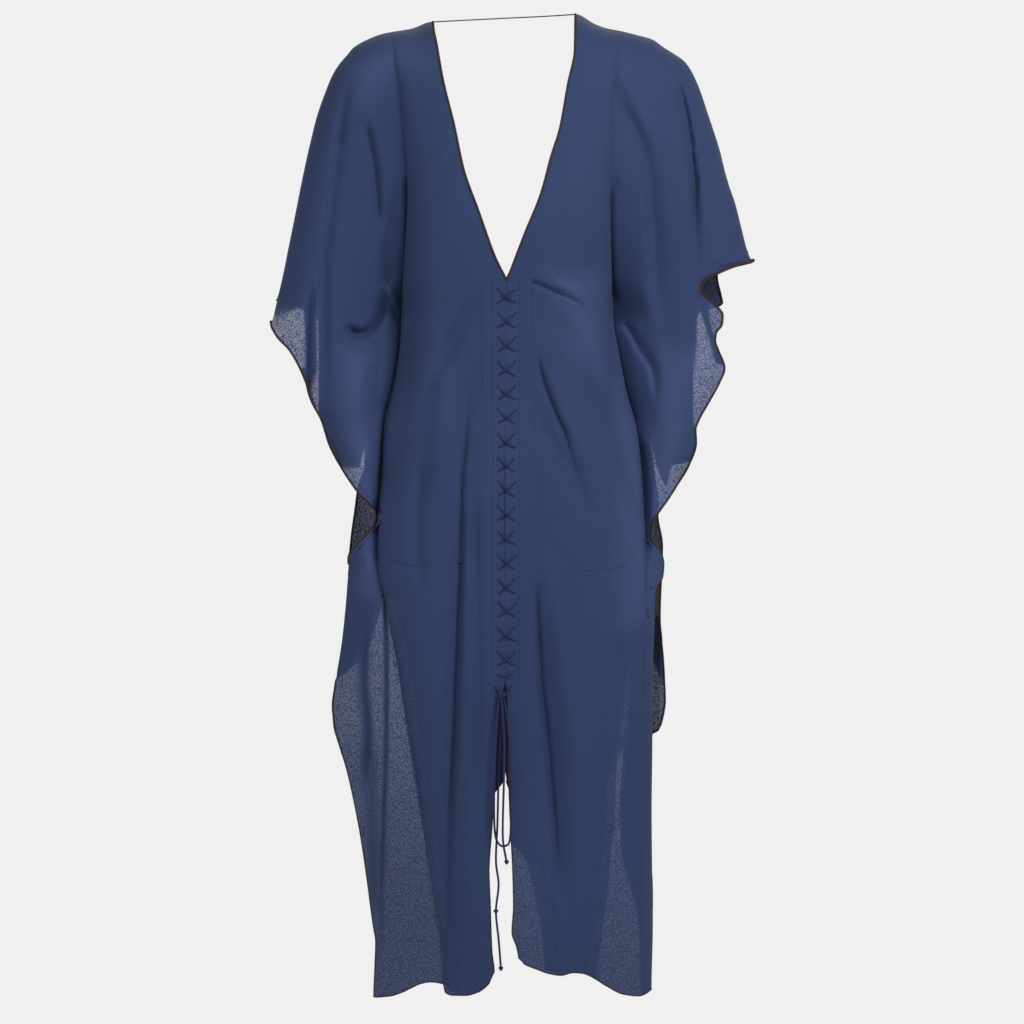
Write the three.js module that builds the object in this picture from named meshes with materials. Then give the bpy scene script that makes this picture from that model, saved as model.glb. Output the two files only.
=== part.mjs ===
// A long open-sided kaftan dress, hollow, as it hangs on the shoulders of a wearer.
// Millimetres, +Z up, front of the dress towards -Y, wearer's right shoulder at -X.
// The origin is the middle of the neck, level with the shoulders.
//
// Each half of the front and of the back is one sheet, cut in one with its wide sleeve.
// A point of a sheet is found from two distances: "out" from the middle line of the dress
// and "down" from the shoulders. The tables below give the cut's outline in those two
// distances, and how far the cloth stands off the middle plane of the dress.

import * as THREE from 'three';

// ---------------------------------------------------------------- driving sizes
const CLOTH = 1.2;
const SEAM_GAP = 0.3;
const SHOULDER_RADIUS = 46;
const BAND_WIDTH = 16.5;
const BAND_TOP = 347;
const BAND_BOTTOM = 872;
const LAST_COLUMN_MARGIN = 6;
const FOLD_BACK_LIFT = 9;

const LACE_DIAMETER = 3;
const LACE_CROSS_COUNT = 16;
const FIRST_CROSS_DOWN = 368;
const CROSS_PITCH = 31.8;
const CROSS_WIDTH = 25;
const CROSS_HEIGHT = 18;
const LACE_BAR = 2.4;
const LACE_THICKNESS = 1.2;
const LACE_KNOT = { x: -5, y: -118, z: -893, radius: 5 };
const STRING_DIAMETER = 1.6;

const CLOTH_COLOUR = 0x3b496d;
const EDGE_COLOUR = 0x3a2a2c;
const LACE_COLOUR = 0x2b2b52;

// ---------------------------------------------------------------- tables
function table(columns, rows) {
  const names = columns.split(' ');
  return rows.map((row) => Object.fromEntries(names.map((name, k) => [name, row[k]])));
}

// The edge nearest the middle: the neck, then the laced opening, then the slit.
const FRONT_LEFT_INNER = table('down out', [
  [3, 96.5], [42, 90], [84, 82.5], [143, 68], [203, 55], [256, 36], [317, 14], [342, 1.2],
  [352, 0.4], [872, 0.4], [890, 4.6], [930, 10], [1003, 15], [1064, 18], [1125, 22],
  [1164, 20.5], [1230, 18], [1257, 15],
]);
const FRONT_RIGHT_INNER = table('down out', [
  [-7, 93], [42, 92], [90, 82.5], [148, 72], [183, 61], [234, 47], [286, 26], [325, 11],
  [343, 1.6], [352, 0.4], [872, 0.4], [890, 2], [997, 4.6], [1043, 6], [1085, 8], [1125, 10],
  [1170, 11], [1206, 9], [1224, 15], [1241, 18],
]);
const BACK_LEFT_INNER = table('down out', [
  [3, 96.5], [42, 90.5], [84, 83], [143, 69], [203, 56], [256, 37], [317, 15.5], [342, 3],
  [362, 0.15], [975, 0.15], [1010, 17], [1064, 24], [1125, 28], [1279, 26],
]);
const BACK_RIGHT_INNER = table('down out', [
  [-7, 93], [42, 92.5], [90, 83.5], [148, 73], [183, 62], [234, 48], [286, 27], [325, 12.5],
  [345, 3], [362, 0.15], [975, 0.15], [1010, 8], [1098, 19], [1125, 32], [1264, 53],
]);

// The shoulder line, along which front and back are sewn.
const LEFT_SHOULDER = table('out down', [
  [96.5, 3.5], [123.5, 12.5], [160, 19], [180, 26], [200.5, 37.5], [209.5, 48], [219.5, 59.5],
  [229, 75], [238, 97], [248, 125], [257.5, 162], [268.5, 212], [279, 265], [290, 318],
  [302, 371], [310, 400],
]);
const RIGHT_SHOULDER = table('out down', [
  [93, -6.5], [117, 6], [133, 12], [153, 16], [173, 21], [194, 27], [208.5, 37], [223.5, 46.5],
  [236, 55.5], [244, 66], [255, 89], [267, 124], [284, 177], [292.5, 212], [302, 239],
  [327, 319],
]);

// Where the body of the dress ends at the side and the hanging wing begins.
const LEFT_SIDE = table('down out', [
  [0, 150], [120, 136], [220, 129], [379, 137], [425, 139], [478, 147], [531, 160],
  [597, 164], [663, 168], [715, 168], [768, 159], [847, 141], [900, 133], [1019, 113],
  [1140, 98], [1276, 82],
]);
const RIGHT_SIDE = table('down out', [
  [0, 150], [120, 141], [220, 138], [399, 143], [441, 150], [491, 160], [544, 174],
  [597, 180], [689, 184], [742, 184], [821, 182], [900, 179], [1094, 178], [1283, 180],
]);

// The free outer edge: cuff, then the open side of the skirt. "turn" is how much of the
// sheet is folded back behind that line.
const FRONT_LEFT_OUTER = table('down out turn', [
  [401, 310, 0], [420, 301, 0], [437, 285, 0], [458, 272.5, 0], [479, 264, 0], [504, 256, 0],
  [532, 241.5, 0], [561, 233, 0], [589, 218.5, 0], [624, 195, 0], [652, 172, 0], [660, 171, 0],
  [682, 183, 0], [701, 201, 0], [711, 206.5, 0], [723, 207, 6], [745, 208.5, 36], [768, 210, 41],
  [807, 214, 35], [834, 217.5, 30], [846, 219, 24], [860, 221.5, 9], [887, 225, 3],
  [907, 227.5, 0], [933, 226, 0], [960, 218.5, 0], [986, 210.5, 0], [1019, 202.5, 0],
  [1072, 192, 0], [1125, 184, 0], [1197, 174, 0], [1220, 170.5, 0], [1250, 171.5, 0],
  [1292, 173, 0],
]);
const FRONT_RIGHT_OUTER = table('down out turn', [
  [319, 327, 0], [327, 301, 0], [337, 278, 0], [347, 261, 0], [359, 257, 0], [380, 278, 0],
  [392, 286, 0], [404, 285, 0], [416, 277, 0], [426, 276, 0], [438, 280, 0], [462, 288.5, 0],
  [480, 282, 0], [504, 269, 0], [531, 254, 0], [543, 250, 0], [562, 251, 0], [589, 242, 0],
  [616, 226, 0], [636, 213, 0], [651, 202, 0], [667, 193.5, 0], [686, 192, 0], [702, 203, 0],
  [721, 208, 0], [737, 206.5, 0], [755, 198, 0], [821, 195, 14], [847, 194, 24], [904, 194, 29],
  [971, 193.5, 33], [1042, 192.5, 37], [1101, 193, 34], [1161, 194, 20], [1185, 194, 14],
  [1283, 192, 9],
]);
const BACK_LEFT_OUTER = table('down out turn', [
  [386, 306, 0], [394, 280, 0], [404, 266, 0], [425, 265, 0], [478, 260, 0], [517, 246, 0],
  [545, 217, 0], [575, 197, 0], [623, 195, 0], [645, 198, 0], [690, 204, 0], [715, 206, 0],
  [738, 190, 0], [757, 167, 8], [775, 157, 24], [847, 141, 34], [900, 133, 40],
  [1019, 113, 46], [1140, 98, 46], [1276, 82, 44],
]);
const BACK_RIGHT_OUTER = table('down out turn', [
  [306, 322, 0], [318, 290, 0], [339, 280, 0], [364, 285, 0], [378, 287, 0], [390, 268, 0],
  [420, 254, 0], [537, 252, 0], [557, 243, 0], [587, 216, 0], [625, 201, 0], [656, 201, 0],
  [696, 207, 0], [795, 204, 0], [822, 206.5, 0], [848, 209, 0], [875, 210.5, 0], [902, 211.5, 0],
  [928, 207.5, 0], [940, 203, 0], [950, 189, 0], [960, 163, 8], [972, 152, 16], [986, 148, 22],
  [1018, 146, 30], [1062, 146, 36], [1094, 141, 38], [1154, 136, 40], [1213, 128, 42],
  [1263, 123, 44],
]);

const FRONT_LEFT_HEM = table('out down', [
  [15, 1257], [21.5, 1271.5], [37, 1283.5], [53, 1287.5], [69, 1287.5], [78.5, 1284], [81, 1273],
  [99, 1270.5], [112, 1273], [125.5, 1279.5], [139, 1286], [152, 1290], [173, 1292],
]);
const FRONT_RIGHT_HEM = table('out down', [
  [18, 1239], [25.5, 1246.5], [41.5, 1253], [57, 1258.5], [73, 1261], [89, 1257.5],
  [102, 1258.5], [112.5, 1262.5], [133.5, 1275.5], [155, 1286], [175.5, 1288.5], [186, 1285],
  [192, 1281],
]);
const BACK_LEFT_HEM = table('out down', [
  [26, 1279], [54, 1290], [72, 1290], [82, 1277],
]);
const BACK_RIGHT_HEM = table('out down', [
  [53, 1262], [73, 1265], [90, 1262], [112, 1267], [123, 1273],
]);

// How far the cloth stands off the middle plane: at the middle line, in the valley at the
// side of the body, at the fullest part of the wing, and at its outer edge.
const FRONT_DEPTH = table('down centre valley wing edge', [
  [0, 96, 74, 60, 52], [100, 114, 78, 58, 50], [200, 127, 70, 56, 48], [270, 126, 52, 54, 46],
  [340, 116, 24, 52, 40], [396, 105, 0, 52, 30], [505, 98, 0, 52, 34], [560, 103, 20, 54, 34],
  [660, 112, 46, 50, 22], [760, 114, 68, 58, 26], [900, 111, 78, 62, 30],
  [1100, 108, 84, 66, 34], [1300, 108, 88, 70, 40],
]);
const BACK_DEPTH = table('down centre valley wing edge', [
  [0, 78, 66, 54, 46], [100, 98, 74, 54, 46], [200, 104, 66, 52, 44], [270, 98, 48, 50, 42],
  [340, 91, 22, 48, 36], [396, 88, 0, 48, 28], [505, 96, 0, 48, 30], [560, 108, 20, 50, 30],
  [660, 121, 52, 46, 22], [760, 121, 78, 60, 36], [900, 116, 92, 70, 52],
  [1100, 110, 94, 76, 60], [1300, 108, 94, 80, 66],
]);

// Folds run along a line of (down, out) points. A trough has a negative height.
const FRONT_LEFT_FOLDS = [
  { name: 'bust_pull', width: 15, height: -5, line: [[383, 44], [418, 67], [465, 87], [537, 117]] },
  { name: 'flute_outer', width: 11, height: -13,
    line: [[475, 51], [610, 57], [689, 55], [821, 60], [1006, 69], [1276, 82]] },
  { name: 'flute_ridge', width: 20, height: 9, line: [[760, 38], [900, 42], [1286, 46]] },
  { name: 'flute_inner', width: 9, height: -6, line: [[636, 38], [795, 40], [1006, 30]] },
  { name: 'sleeve_line', width: 13, height: -8, line: [[115, 212], [200, 225], [372, 242], [504, 242]] },
  { name: 'armpit', width: 10, height: -9, line: [[125, 172], [200, 168], [273, 164]] },
  { name: 'side_swag', width: 14, height: 8, line: [[330, 176], [420, 190], [520, 196]] },
  { name: 'skirt_side', width: 11, height: -14, line: [[740, 158], [1000, 163], [1217, 169]] },
  { name: 'skirt_outer', width: 9, height: -7, line: [[834, 185], [920, 190], [1006, 190]] },
];
const FRONT_RIGHT_FOLDS = [
  { name: 'lace_pull', width: 12, height: -5, line: [[350, 30], [367, 65], [385, 105]] },
  { name: 'waist_pull', width: 14, height: -6, line: [[385, 59], [445, 98], [511, 138]] },
  { name: 'hip_crease', width: 11, height: -7, line: [[432, 43], [524, 67], [583, 88], [640, 112]] },
  { name: 'hip_trough', width: 14, height: -6, line: [[524, 39], [581, 72], [676, 125]] },
  { name: 'skirt_crease', width: 11, height: -12, line: [[768, 42], [874, 47], [1032, 63], [1200, 74]] },
  { name: 'skirt_ridge', width: 16, height: 6, line: [[696, 57], [768, 64], [888, 83], [1100, 112]] },
  { name: 'sleeve_fold', width: 12, height: -9,
    line: [[82, 131], [148, 171], [187, 184], [240, 191], [412, 204]] },
  { name: 'cuff_crease', width: 11, height: -11, line: [[62, 220], [161, 243], [214, 247], [359, 251]] },
  { name: 'side_swag', width: 14, height: 8, line: [[330, 178], [420, 192], [560, 205]] },
];
const BACK_LEFT_FOLDS = [
  { name: 'waist_pull', width: 14, height: -6, line: [[380, 120], [440, 80], [540, 60]] },
  { name: 'seat_trough', width: 13, height: -9, line: [[700, 62], [900, 58], [1150, 60], [1270, 62]] },
  { name: 'sleeve_fold', width: 13, height: -9, line: [[120, 196], [240, 214], [420, 226]] },
  { name: 'skirt_ridge', width: 16, height: 7, line: [[720, 112], [860, 104], [1000, 92]] },
];
const BACK_RIGHT_FOLDS = [
  { name: 'waist_pull', width: 14, height: -6, line: [[390, 126], [450, 84], [560, 70]] },
  { name: 'seat_trough', width: 13, height: -9, line: [[690, 74], [880, 84], [1140, 92], [1260, 88]] },
  { name: 'sleeve_fold', width: 13, height: -9, line: [[110, 190], [220, 216], [400, 224]] },
  { name: 'skirt_ridge', width: 16, height: 7, line: [[700, 124], [860, 120], [1000, 118]] },
];

// ---------------------------------------------------------------- reading the tables
// Smooth curve through a table's rows, without overshoot, held level past its ends.
function read(rows, key, value, at) {
  const last = rows.length - 1;
  if (at <= rows[0][key]) return rows[0][value];
  if (at >= rows[last][key]) return rows[last][value];
  const slope = (k) => (rows[k + 1][value] - rows[k][value]) / (rows[k + 1][key] - rows[k][key]);
  const tangent = (k) => {
    if (k === 0 || k === last) return 0;
    const before = slope(k - 1);
    const after = slope(k);
    return before * after <= 0 ? 0 : (2 * before * after) / (before + after);
  };
  let k = 0;
  while (rows[k + 1][key] < at) k += 1;
  const span = rows[k + 1][key] - rows[k][key];
  const t = (at - rows[k][key]) / span;
  const s = 1 - t;
  return rows[k][value] * s * s * (1 + 2 * t) + rows[k + 1][value] * t * t * (3 - 2 * t)
    + span * t * s * (s * tangent(k) - t * tangent(k + 1));
}

// A table's smooth curve as closely spaced points.
function smoothLine(rows, key, value, piecesPerRow = 6) {
  const points = [];
  for (let k = 0; k < rows.length - 1; k += 1) {
    for (let j = 0; j < piecesPerRow; j += 1) {
      const at = rows[k][key] + ((rows[k + 1][key] - rows[k][key]) * j) / piecesPerRow;
      points.push({ key: at, value: read(rows, key, value, at) });
    }
  }
  const last = rows[rows.length - 1];
  return [...points, { key: last[key], value: last[value] }];
}

const smoothstep = (t) => {
  const c = Math.min(Math.max(t, 0), 1);
  return c * c * (3 - 2 * c);
};

// Distance from a point to a line of points, and how far along the line that is (0 to 1).
function nearestOnLine(line, down, out) {
  let best = { distance: Infinity, along: 0 };
  for (let k = 0; k < line.length - 1; k += 1) {
    const [d0, o0] = line[k];
    const [d1, o1] = line[k + 1];
    const length2 = (d1 - d0) ** 2 + (o1 - o0) ** 2;
    const t = Math.min(Math.max(((down - d0) * (d1 - d0) + (out - o0) * (o1 - o0)) / length2, 0), 1);
    const distance = Math.hypot(down - d0 - t * (d1 - d0), out - o0 - t * (o1 - o0));
    if (distance < best.distance) best = { distance, along: (k + t) / (line.length - 1) };
  }
  return best;
}

function foldHeight(folds, down, out) {
  let height = 0;
  for (const fold of folds) {
    const { distance, along } = nearestOnLine(fold.line, down, out);
    const fade = smoothstep(along / 0.25) * smoothstep((1 - along) / 0.12 + 0.35);
    height += fold.height * fade * Math.exp(-((distance / fold.width) ** 2));
  }
  return height;
}

// ---------------------------------------------------------------- one sheet of the dress
// A half of the front or back as a grid of points: columns run down it, rows across it.
class Sheet {
  constructor(cut) {
    Object.assign(this, cut);
    this.ridge = smoothLine(this.shoulder, 'out', 'down').map(({ key, value }) => [value, key]);
    this.corner = this.outer[0].down;
    this.columns = [
      { part: 'band', t: 0 }, { part: 'band', t: 1 },
      ...this.bodyColumns.map((t) => ({ part: 'body', t })),
      ...this.wingColumns.map((t) => ({ part: 'wing', t })),
      { part: 'margin', t: 0.5 }, { part: 'margin', t: 1 },
    ];
    this.rows = this.rowFractions();
    this.points = this.columns.map((column) => this.columnPoints(column));
    this.normals = gridNormals(this.points, this.facing * this.side);
  }

  // Where a column lies at a distance down: its "out", and how far behind it is folded.
  place(column, down) {
    const inner = read(this.inner, 'down', 'out', down);
    const side = read(this.sideLine, 'down', 'out', down);
    const edge = read(this.outer, 'down', 'out', down);
    const turn = read(this.outer, 'down', 'turn', down);
    const folded = smoothstep(turn / 10);
    const lastFlat = edge - LAST_COLUMN_MARGIN * (1 - folded);
    const bandEdge = inner + BAND_WIDTH;
    if (column.part === 'band') return { out: inner + BAND_WIDTH * column.t, back: 0 };
    if (column.part === 'body') {
      return { out: bandEdge + (Math.min(side, lastFlat - 5) - bandEdge) * column.t, back: 0 };
    }
    if (column.part === 'wing') {
      const start = Math.min(side, lastFlat - 5);
      return { out: start + (lastFlat - start) * column.t, back: 0 };
    }
    const reach = LAST_COLUMN_MARGIN * (1 - folded) - turn * folded;
    return { out: lastFlat + reach * column.t, back: FOLD_BACK_LIFT * folded * Math.sqrt(column.t) };
  }

  // Rows are close together where the outer edge turns sharply.
  rowFractions() {
    const bottom = this.outer[this.outer.length - 1].down;
    const length = bottom - this.corner;
    const fractions = [0, 0.008, 0.02, 0.036];
    for (const row of this.outer) {
      const fraction = (row.down - this.corner) / length;
      if (fraction > fractions[fractions.length - 1] + this.finestRow) fractions.push(fraction);
    }
    fractions[fractions.length - 1] = 1;
    const filled = [0];
    for (let k = 1; k < fractions.length; k += 1) {
      const gap = fractions[k] - fractions[k - 1];
      const pieces = Math.ceil((gap * length * 1.2) / this.rowStep);
      for (let j = 1; j <= pieces; j += 1) filled.push(fractions[k - 1] + (gap * j) / pieces);
    }
    return filled;
  }

  columnPoints(column) {
    const top = this.topOf(column);
    const bottom = this.bottomOf(column);
    return this.rows.map((fraction) => this.point(column, top + (bottom - top) * fraction));
  }

  // A column starts where it meets the shoulder line.
  topOf(column) {
    let low = this.shoulder[0].out;
    let high = this.shoulder[this.shoulder.length - 1].out;
    for (let k = 0; k < 40; k += 1) {
      const middle = (low + high) / 2;
      const down = read(this.shoulder, 'out', 'down', middle);
      if (middle < this.place(column, down).out) low = middle;
      else high = middle;
    }
    return read(this.shoulder, 'out', 'down', low);
  }

  bottomOf(column) {
    const deepest = this.hem.reduce((most, row) => Math.max(most, row.down), 0);
    return read(this.hem, 'out', 'down', this.place(column, deepest).out);
  }

  // How far the cloth stands off the middle plane.
  depthAt(out, down) {
    const side = read(this.sideLine, 'down', 'out', down);
    const edge = Math.max(read(this.reach, 'down', 'out', down), side + 12);
    const centre = read(this.depth, 'down', 'centre', down);
    const valley = read(this.depth, 'down', 'valley', down);
    const wing = read(this.depth, 'down', 'wing', down);
    const rim = read(this.depth, 'down', 'edge', down);
    let depth;
    if (out <= side) {
      depth = valley + (centre - valley) * (1 - (out / side) ** 2.7) ** 0.62;
    } else {
      const t = Math.min((out - side) / (edge - side), 1);
      const control = 2 * wing - (valley + rim) / 2;
      depth = valley * (1 - t) ** 2 + 2 * control * t * (1 - t) + rim * t * t;
    }
    const folds = foldHeight(this.folds, down, out) * smoothstep(depth / 18);
    const toShoulder = Math.min(nearestOnLine(this.ridge, down, out).distance / SHOULDER_RADIUS, 1);
    return (depth + folds) * Math.sqrt(1 - (1 - toShoulder) ** 2);
  }

  point(column, down) {
    const { out, back } = this.place(column, down);
    const depth = Math.max(this.depthAt(out, down) - back, 0);
    return new THREE.Vector3(this.side * out, this.facing * (SEAM_GAP / 2 + depth), -down);
  }

  // Which row of a column lies at a distance down, with its share of the way to the next row.
  rowAt(column, down) {
    const points = this.points[column];
    let row = 0;
    while (row < points.length - 2 && -points[row + 1].z < down) row += 1;
    return row + (-down - points[row].z) / (points[row + 1].z - points[row].z);
  }

  // A grid's points or normals on a row that may lie between two of its own.
  static between(column, share) {
    const row = Math.min(Math.floor(share), column.length - 2);
    return column[row].clone().lerp(column[row + 1], share - row);
  }

  // The part of a grid between two columns and two rows, which may lie between its own rows.
  static cut(grid, firstColumn, lastColumn, start, end) {
    const shares = [start];
    for (let row = Math.floor(start) + 1; row < end; row += 1) shares.push(row);
    shares.push(end);
    return grid.slice(firstColumn, lastColumn + 1)
      .map((column) => shares.map((share) => Sheet.between(column, share)));
  }

  // A place on the faceted sheet near its middle edge, moved off it by a distance.
  onBand(out, down, lift) {
    const column = Math.min(Math.max((out - SEAM_GAP) / BAND_WIDTH, 0), 1);
    const share = this.rowAt(0, down);
    const blend = (grid) => Sheet.between(grid[0], share).lerp(Sheet.between(grid[1], share), column);
    return blend(this.points).addScaledVector(blend(this.normals).normalize(), lift);
  }
}

function gridNormals(points, sign) {
  const clampIndex = (k, count) => Math.min(Math.max(k, 0), count - 1);
  return points.map((column, i) => column.map((_, j) => {
    const across = points[clampIndex(i + 1, points.length)][j].clone()
      .sub(points[clampIndex(i - 1, points.length)][j]);
    const along = column[clampIndex(j + 1, column.length)].clone()
      .sub(column[clampIndex(j - 1, column.length)]);
    return across.cross(along).normalize().multiplyScalar(sign);
  }));
}

// ---------------------------------------------------------------- solids
// A closed wall between two moved copies of a grid of points.
function wall(points, normals, inside, outside, flip) {
  const columns = points.length;
  const rows = points[0].length;
  const layer = (offset) => points.flatMap((column, i) => column.map(
    (point, j) => point.clone().addScaledVector(normals[i][j], offset),
  ));
  const vertices = [...layer(inside), ...layer(outside)];
  const count = columns * rows;
  const at = (i, j) => i * rows + j;
  const faces = [];
  const quad = (a, b, c, d) => faces.push([a, b, c], [a, c, d]);
  for (let i = 0; i < columns - 1; i += 1) {
    for (let j = 0; j < rows - 1; j += 1) {
      const [a, b, c, d] = [at(i, j), at(i + 1, j), at(i + 1, j + 1), at(i, j + 1)];
      quad(a, b, c, d);
      faces.push([a, c, b].map((k) => k + count), [a, d, c].map((k) => k + count));
    }
  }
  const rim = [];
  for (let i = 0; i < columns - 1; i += 1) rim.push(at(i, 0));
  for (let j = 0; j < rows - 1; j += 1) rim.push(at(columns - 1, j));
  for (let i = columns - 1; i > 0; i -= 1) rim.push(at(i, rows - 1));
  for (let j = rows - 1; j > 0; j -= 1) rim.push(at(0, j));
  rim.forEach((from, k) => {
    const to = rim[(k + 1) % rim.length];
    quad(from, from + count, to + count, to);
  });
  return meshGeometry(vertices, flip ? faces.map((face) => face.slice().reverse()) : faces);
}

function meshGeometry(vertices, faces) {
  const geometry = new THREE.BufferGeometry();
  geometry.setAttribute('position', new THREE.Float32BufferAttribute(
    vertices.flatMap((vertex) => vertex.toArray()),
    3,
  ));
  geometry.setIndex(faces.flat());
  geometry.computeVertexNormals();
  return geometry;
}

function cloth(colour = CLOTH_COLOUR) {
  return new THREE.MeshStandardMaterial({ color: colour, roughness: 0.85, metalness: 0 });
}

function named(name, geometry, material) {
  const mesh = new THREE.Mesh(geometry, material);
  mesh.name = name;
  return mesh;
}

const flipFor = (sheet) => sheet.side * sheet.facing > 0;

function sheetSolid(sheet) {
  return wall(sheet.points, sheet.normals, 0, CLOTH, flipFor(sheet));
}

// The narrow band along the laced edge lies on the sheet's own first two columns.
function bandSolid(sheet) {
  const start = sheet.rowAt(0, BAND_TOP);
  const end = sheet.rowAt(0, BAND_BOTTOM);
  const strip = (grid) => Sheet.cut(grid, 0, 1, start, end);
  const lift = CLOTH + SEAM_GAP;
  return wall(strip(sheet.points), strip(sheet.normals), lift, lift + CLOTH, flipFor(sheet));
}

// The pocket bag lies inside the front on the sheet's own columns and rows.
function pocketSolid(sheet) {
  const { firstColumn, lastColumn, top, bottom } = sheet.pocket;
  const start = Math.round(sheet.rowAt(firstColumn, top));
  const end = Math.round(sheet.rowAt(firstColumn, bottom));
  const bag = (grid) => Sheet.cut(grid, firstColumn, lastColumn, start, end);
  return wall(bag(sheet.points), bag(sheet.normals), -SEAM_GAP - CLOTH, -SEAM_GAP, flipFor(sheet));
}

// One crossed stitch of the lacing, laid over both bands.
function crossSolid(left, right, down) {
  const halfWidth = CROSS_WIDTH / 2;
  const halfHeight = CROSS_HEIGHT / 2;
  const length = Math.hypot(halfWidth, halfHeight);
  const [acrossX, acrossY] = [(LACE_BAR / 2) * (halfHeight / length), (LACE_BAR / 2) * (halfWidth / length)];
  const waistX = (LACE_BAR / 2) * (length / halfHeight);
  const waistY = (LACE_BAR / 2) * (length / halfWidth);
  const outline = [
    [halfWidth + acrossX, halfHeight - acrossY], [halfWidth - acrossX, halfHeight + acrossY],
    [0, waistY], [-halfWidth + acrossX, halfHeight + acrossY],
    [-halfWidth - acrossX, halfHeight - acrossY], [-waistX, 0],
    [-halfWidth - acrossX, -halfHeight + acrossY], [-halfWidth + acrossX, -halfHeight - acrossY],
    [0, -waistY], [halfWidth - acrossX, -halfHeight - acrossY],
    [halfWidth + acrossX, -halfHeight + acrossY], [waistX, 0],
  ].map(([x, y]) => new THREE.Vector2(x, y));
  const lift = 2 * CLOTH + 3 * SEAM_GAP;
  const place = (point, offset) => (point.x < 0 ? left : right)
    .onBand(Math.abs(point.x), down - point.y, lift + offset);
  return extrudedOutline(outline, (point) => place(point, 0), (point) => place(point, LACE_THICKNESS));
}

function extrudedOutline(outline, placeInner, placeOuter) {
  const count = outline.length;
  const vertices = [...outline.map(placeInner), ...outline.map(placeOuter)];
  const faces = [];
  for (const [a, b, c] of THREE.ShapeUtils.triangulateShape(outline, [])) {
    faces.push([a, c, b], [a + count, b + count, c + count]);
  }
  outline.forEach((_, k) => {
    const next = (k + 1) % count;
    faces.push([k, next, next + count], [k, next + count, k + count]);
  });
  return meshGeometry(vertices, faces);
}

// A free end of lace or string, along a route of hand-set points.
function cordSolid(route, diameter, steps, sides = 8) {
  const curve = new THREE.CatmullRomCurve3(route.map((point) => new THREE.Vector3(...point)));
  const section = new THREE.Shape(Array.from({ length: sides }, (_, k) => {
    const angle = (2 * Math.PI * k) / sides;
    return new THREE.Vector2(Math.cos(angle), Math.sin(angle)).multiplyScalar(diameter / 2);
  }));
  return new THREE.ExtrudeGeometry(section, { steps, extrudePath: curve, bevelEnabled: false });
}

// ---------------------------------------------------------------- the dress
const POCKET_LEFT = { top: 505, bottom: 728, firstColumn: 2, lastColumn: 8 };
const POCKET_RIGHT = { top: 505, bottom: 735, firstColumn: 2, lastColumn: 8 };

// "reach" is the smooth line of the wing's outer side that its fullness follows.
const LEFT_REACH = table('down out', [
  [0, 300], [400, 309], [504, 262], [600, 215], [700, 212], [900, 228], [1019, 205], [1300, 178],
]);
const RIGHT_REACH = table('down out', [
  [0, 310], [319, 325], [460, 292], [560, 252], [660, 214], [760, 208], [900, 205], [1300, 200],
]);

const left = { side: -1, shoulder: LEFT_SHOULDER, sideLine: LEFT_SIDE, reach: LEFT_REACH };
const right = { side: 1, shoulder: RIGHT_SHOULDER, sideLine: RIGHT_SIDE, reach: RIGHT_REACH };
const front = {
  facing: -1, depth: FRONT_DEPTH, finestRow: 0.013, rowStep: 36,
  bodyColumns: [0.19, 0.32, 0.45, 0.58, 0.7, 0.81, 0.9, 0.965, 1],
  wingColumns: [0.08, 0.2, 0.36, 0.54, 0.72, 0.88, 1],
};
const back = {
  facing: 1, depth: BACK_DEPTH, finestRow: 0.03, rowStep: 48,
  bodyColumns: [0.18, 0.38, 0.58, 0.76, 0.9, 1], wingColumns: [0.15, 0.4, 0.7, 1],
};

const frontLeft = new Sheet({
  ...left, ...front, inner: FRONT_LEFT_INNER, outer: FRONT_LEFT_OUTER, hem: FRONT_LEFT_HEM,
  folds: FRONT_LEFT_FOLDS, pocket: POCKET_LEFT,
});
const frontRight = new Sheet({
  ...right, ...front, inner: FRONT_RIGHT_INNER, outer: FRONT_RIGHT_OUTER, hem: FRONT_RIGHT_HEM,
  folds: FRONT_RIGHT_FOLDS, pocket: POCKET_RIGHT,
});
const backLeft = new Sheet({
  ...left, ...back, inner: BACK_LEFT_INNER, outer: BACK_LEFT_OUTER, hem: BACK_LEFT_HEM,
  folds: BACK_LEFT_FOLDS,
});
const backRight = new Sheet({
  ...right, ...back, inner: BACK_RIGHT_INNER, outer: BACK_RIGHT_OUTER, hem: BACK_RIGHT_HEM,
  folds: BACK_RIGHT_FOLDS,
});

const dress = new THREE.Group();
dress.add(named('front_left', sheetSolid(frontLeft), cloth()));
dress.add(named('front_right', sheetSolid(frontRight), cloth()));
dress.add(named('back_left', sheetSolid(backLeft), cloth()));
dress.add(named('back_right', sheetSolid(backRight), cloth()));
dress.add(named('band_left', bandSolid(frontLeft), cloth()));
dress.add(named('band_right', bandSolid(frontRight), cloth()));
dress.add(named('pocket_left', pocketSolid(frontLeft), cloth()));
dress.add(named('pocket_right', pocketSolid(frontRight), cloth()));
for (let k = 0; k < LACE_CROSS_COUNT; k += 1) {
  const cross = crossSolid(frontLeft, frontRight, FIRST_CROSS_DOWN + CROSS_PITCH * k);
  dress.add(named(`lace_cross_${k + 1}`, cross, cloth(LACE_COLOUR)));
}

const knot = new THREE.SphereGeometry(LACE_KNOT.radius, 12, 8);
knot.translate(LACE_KNOT.x, LACE_KNOT.y, LACE_KNOT.z);
dress.add(named('lace_knot', knot, cloth(LACE_COLOUR)));

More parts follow.
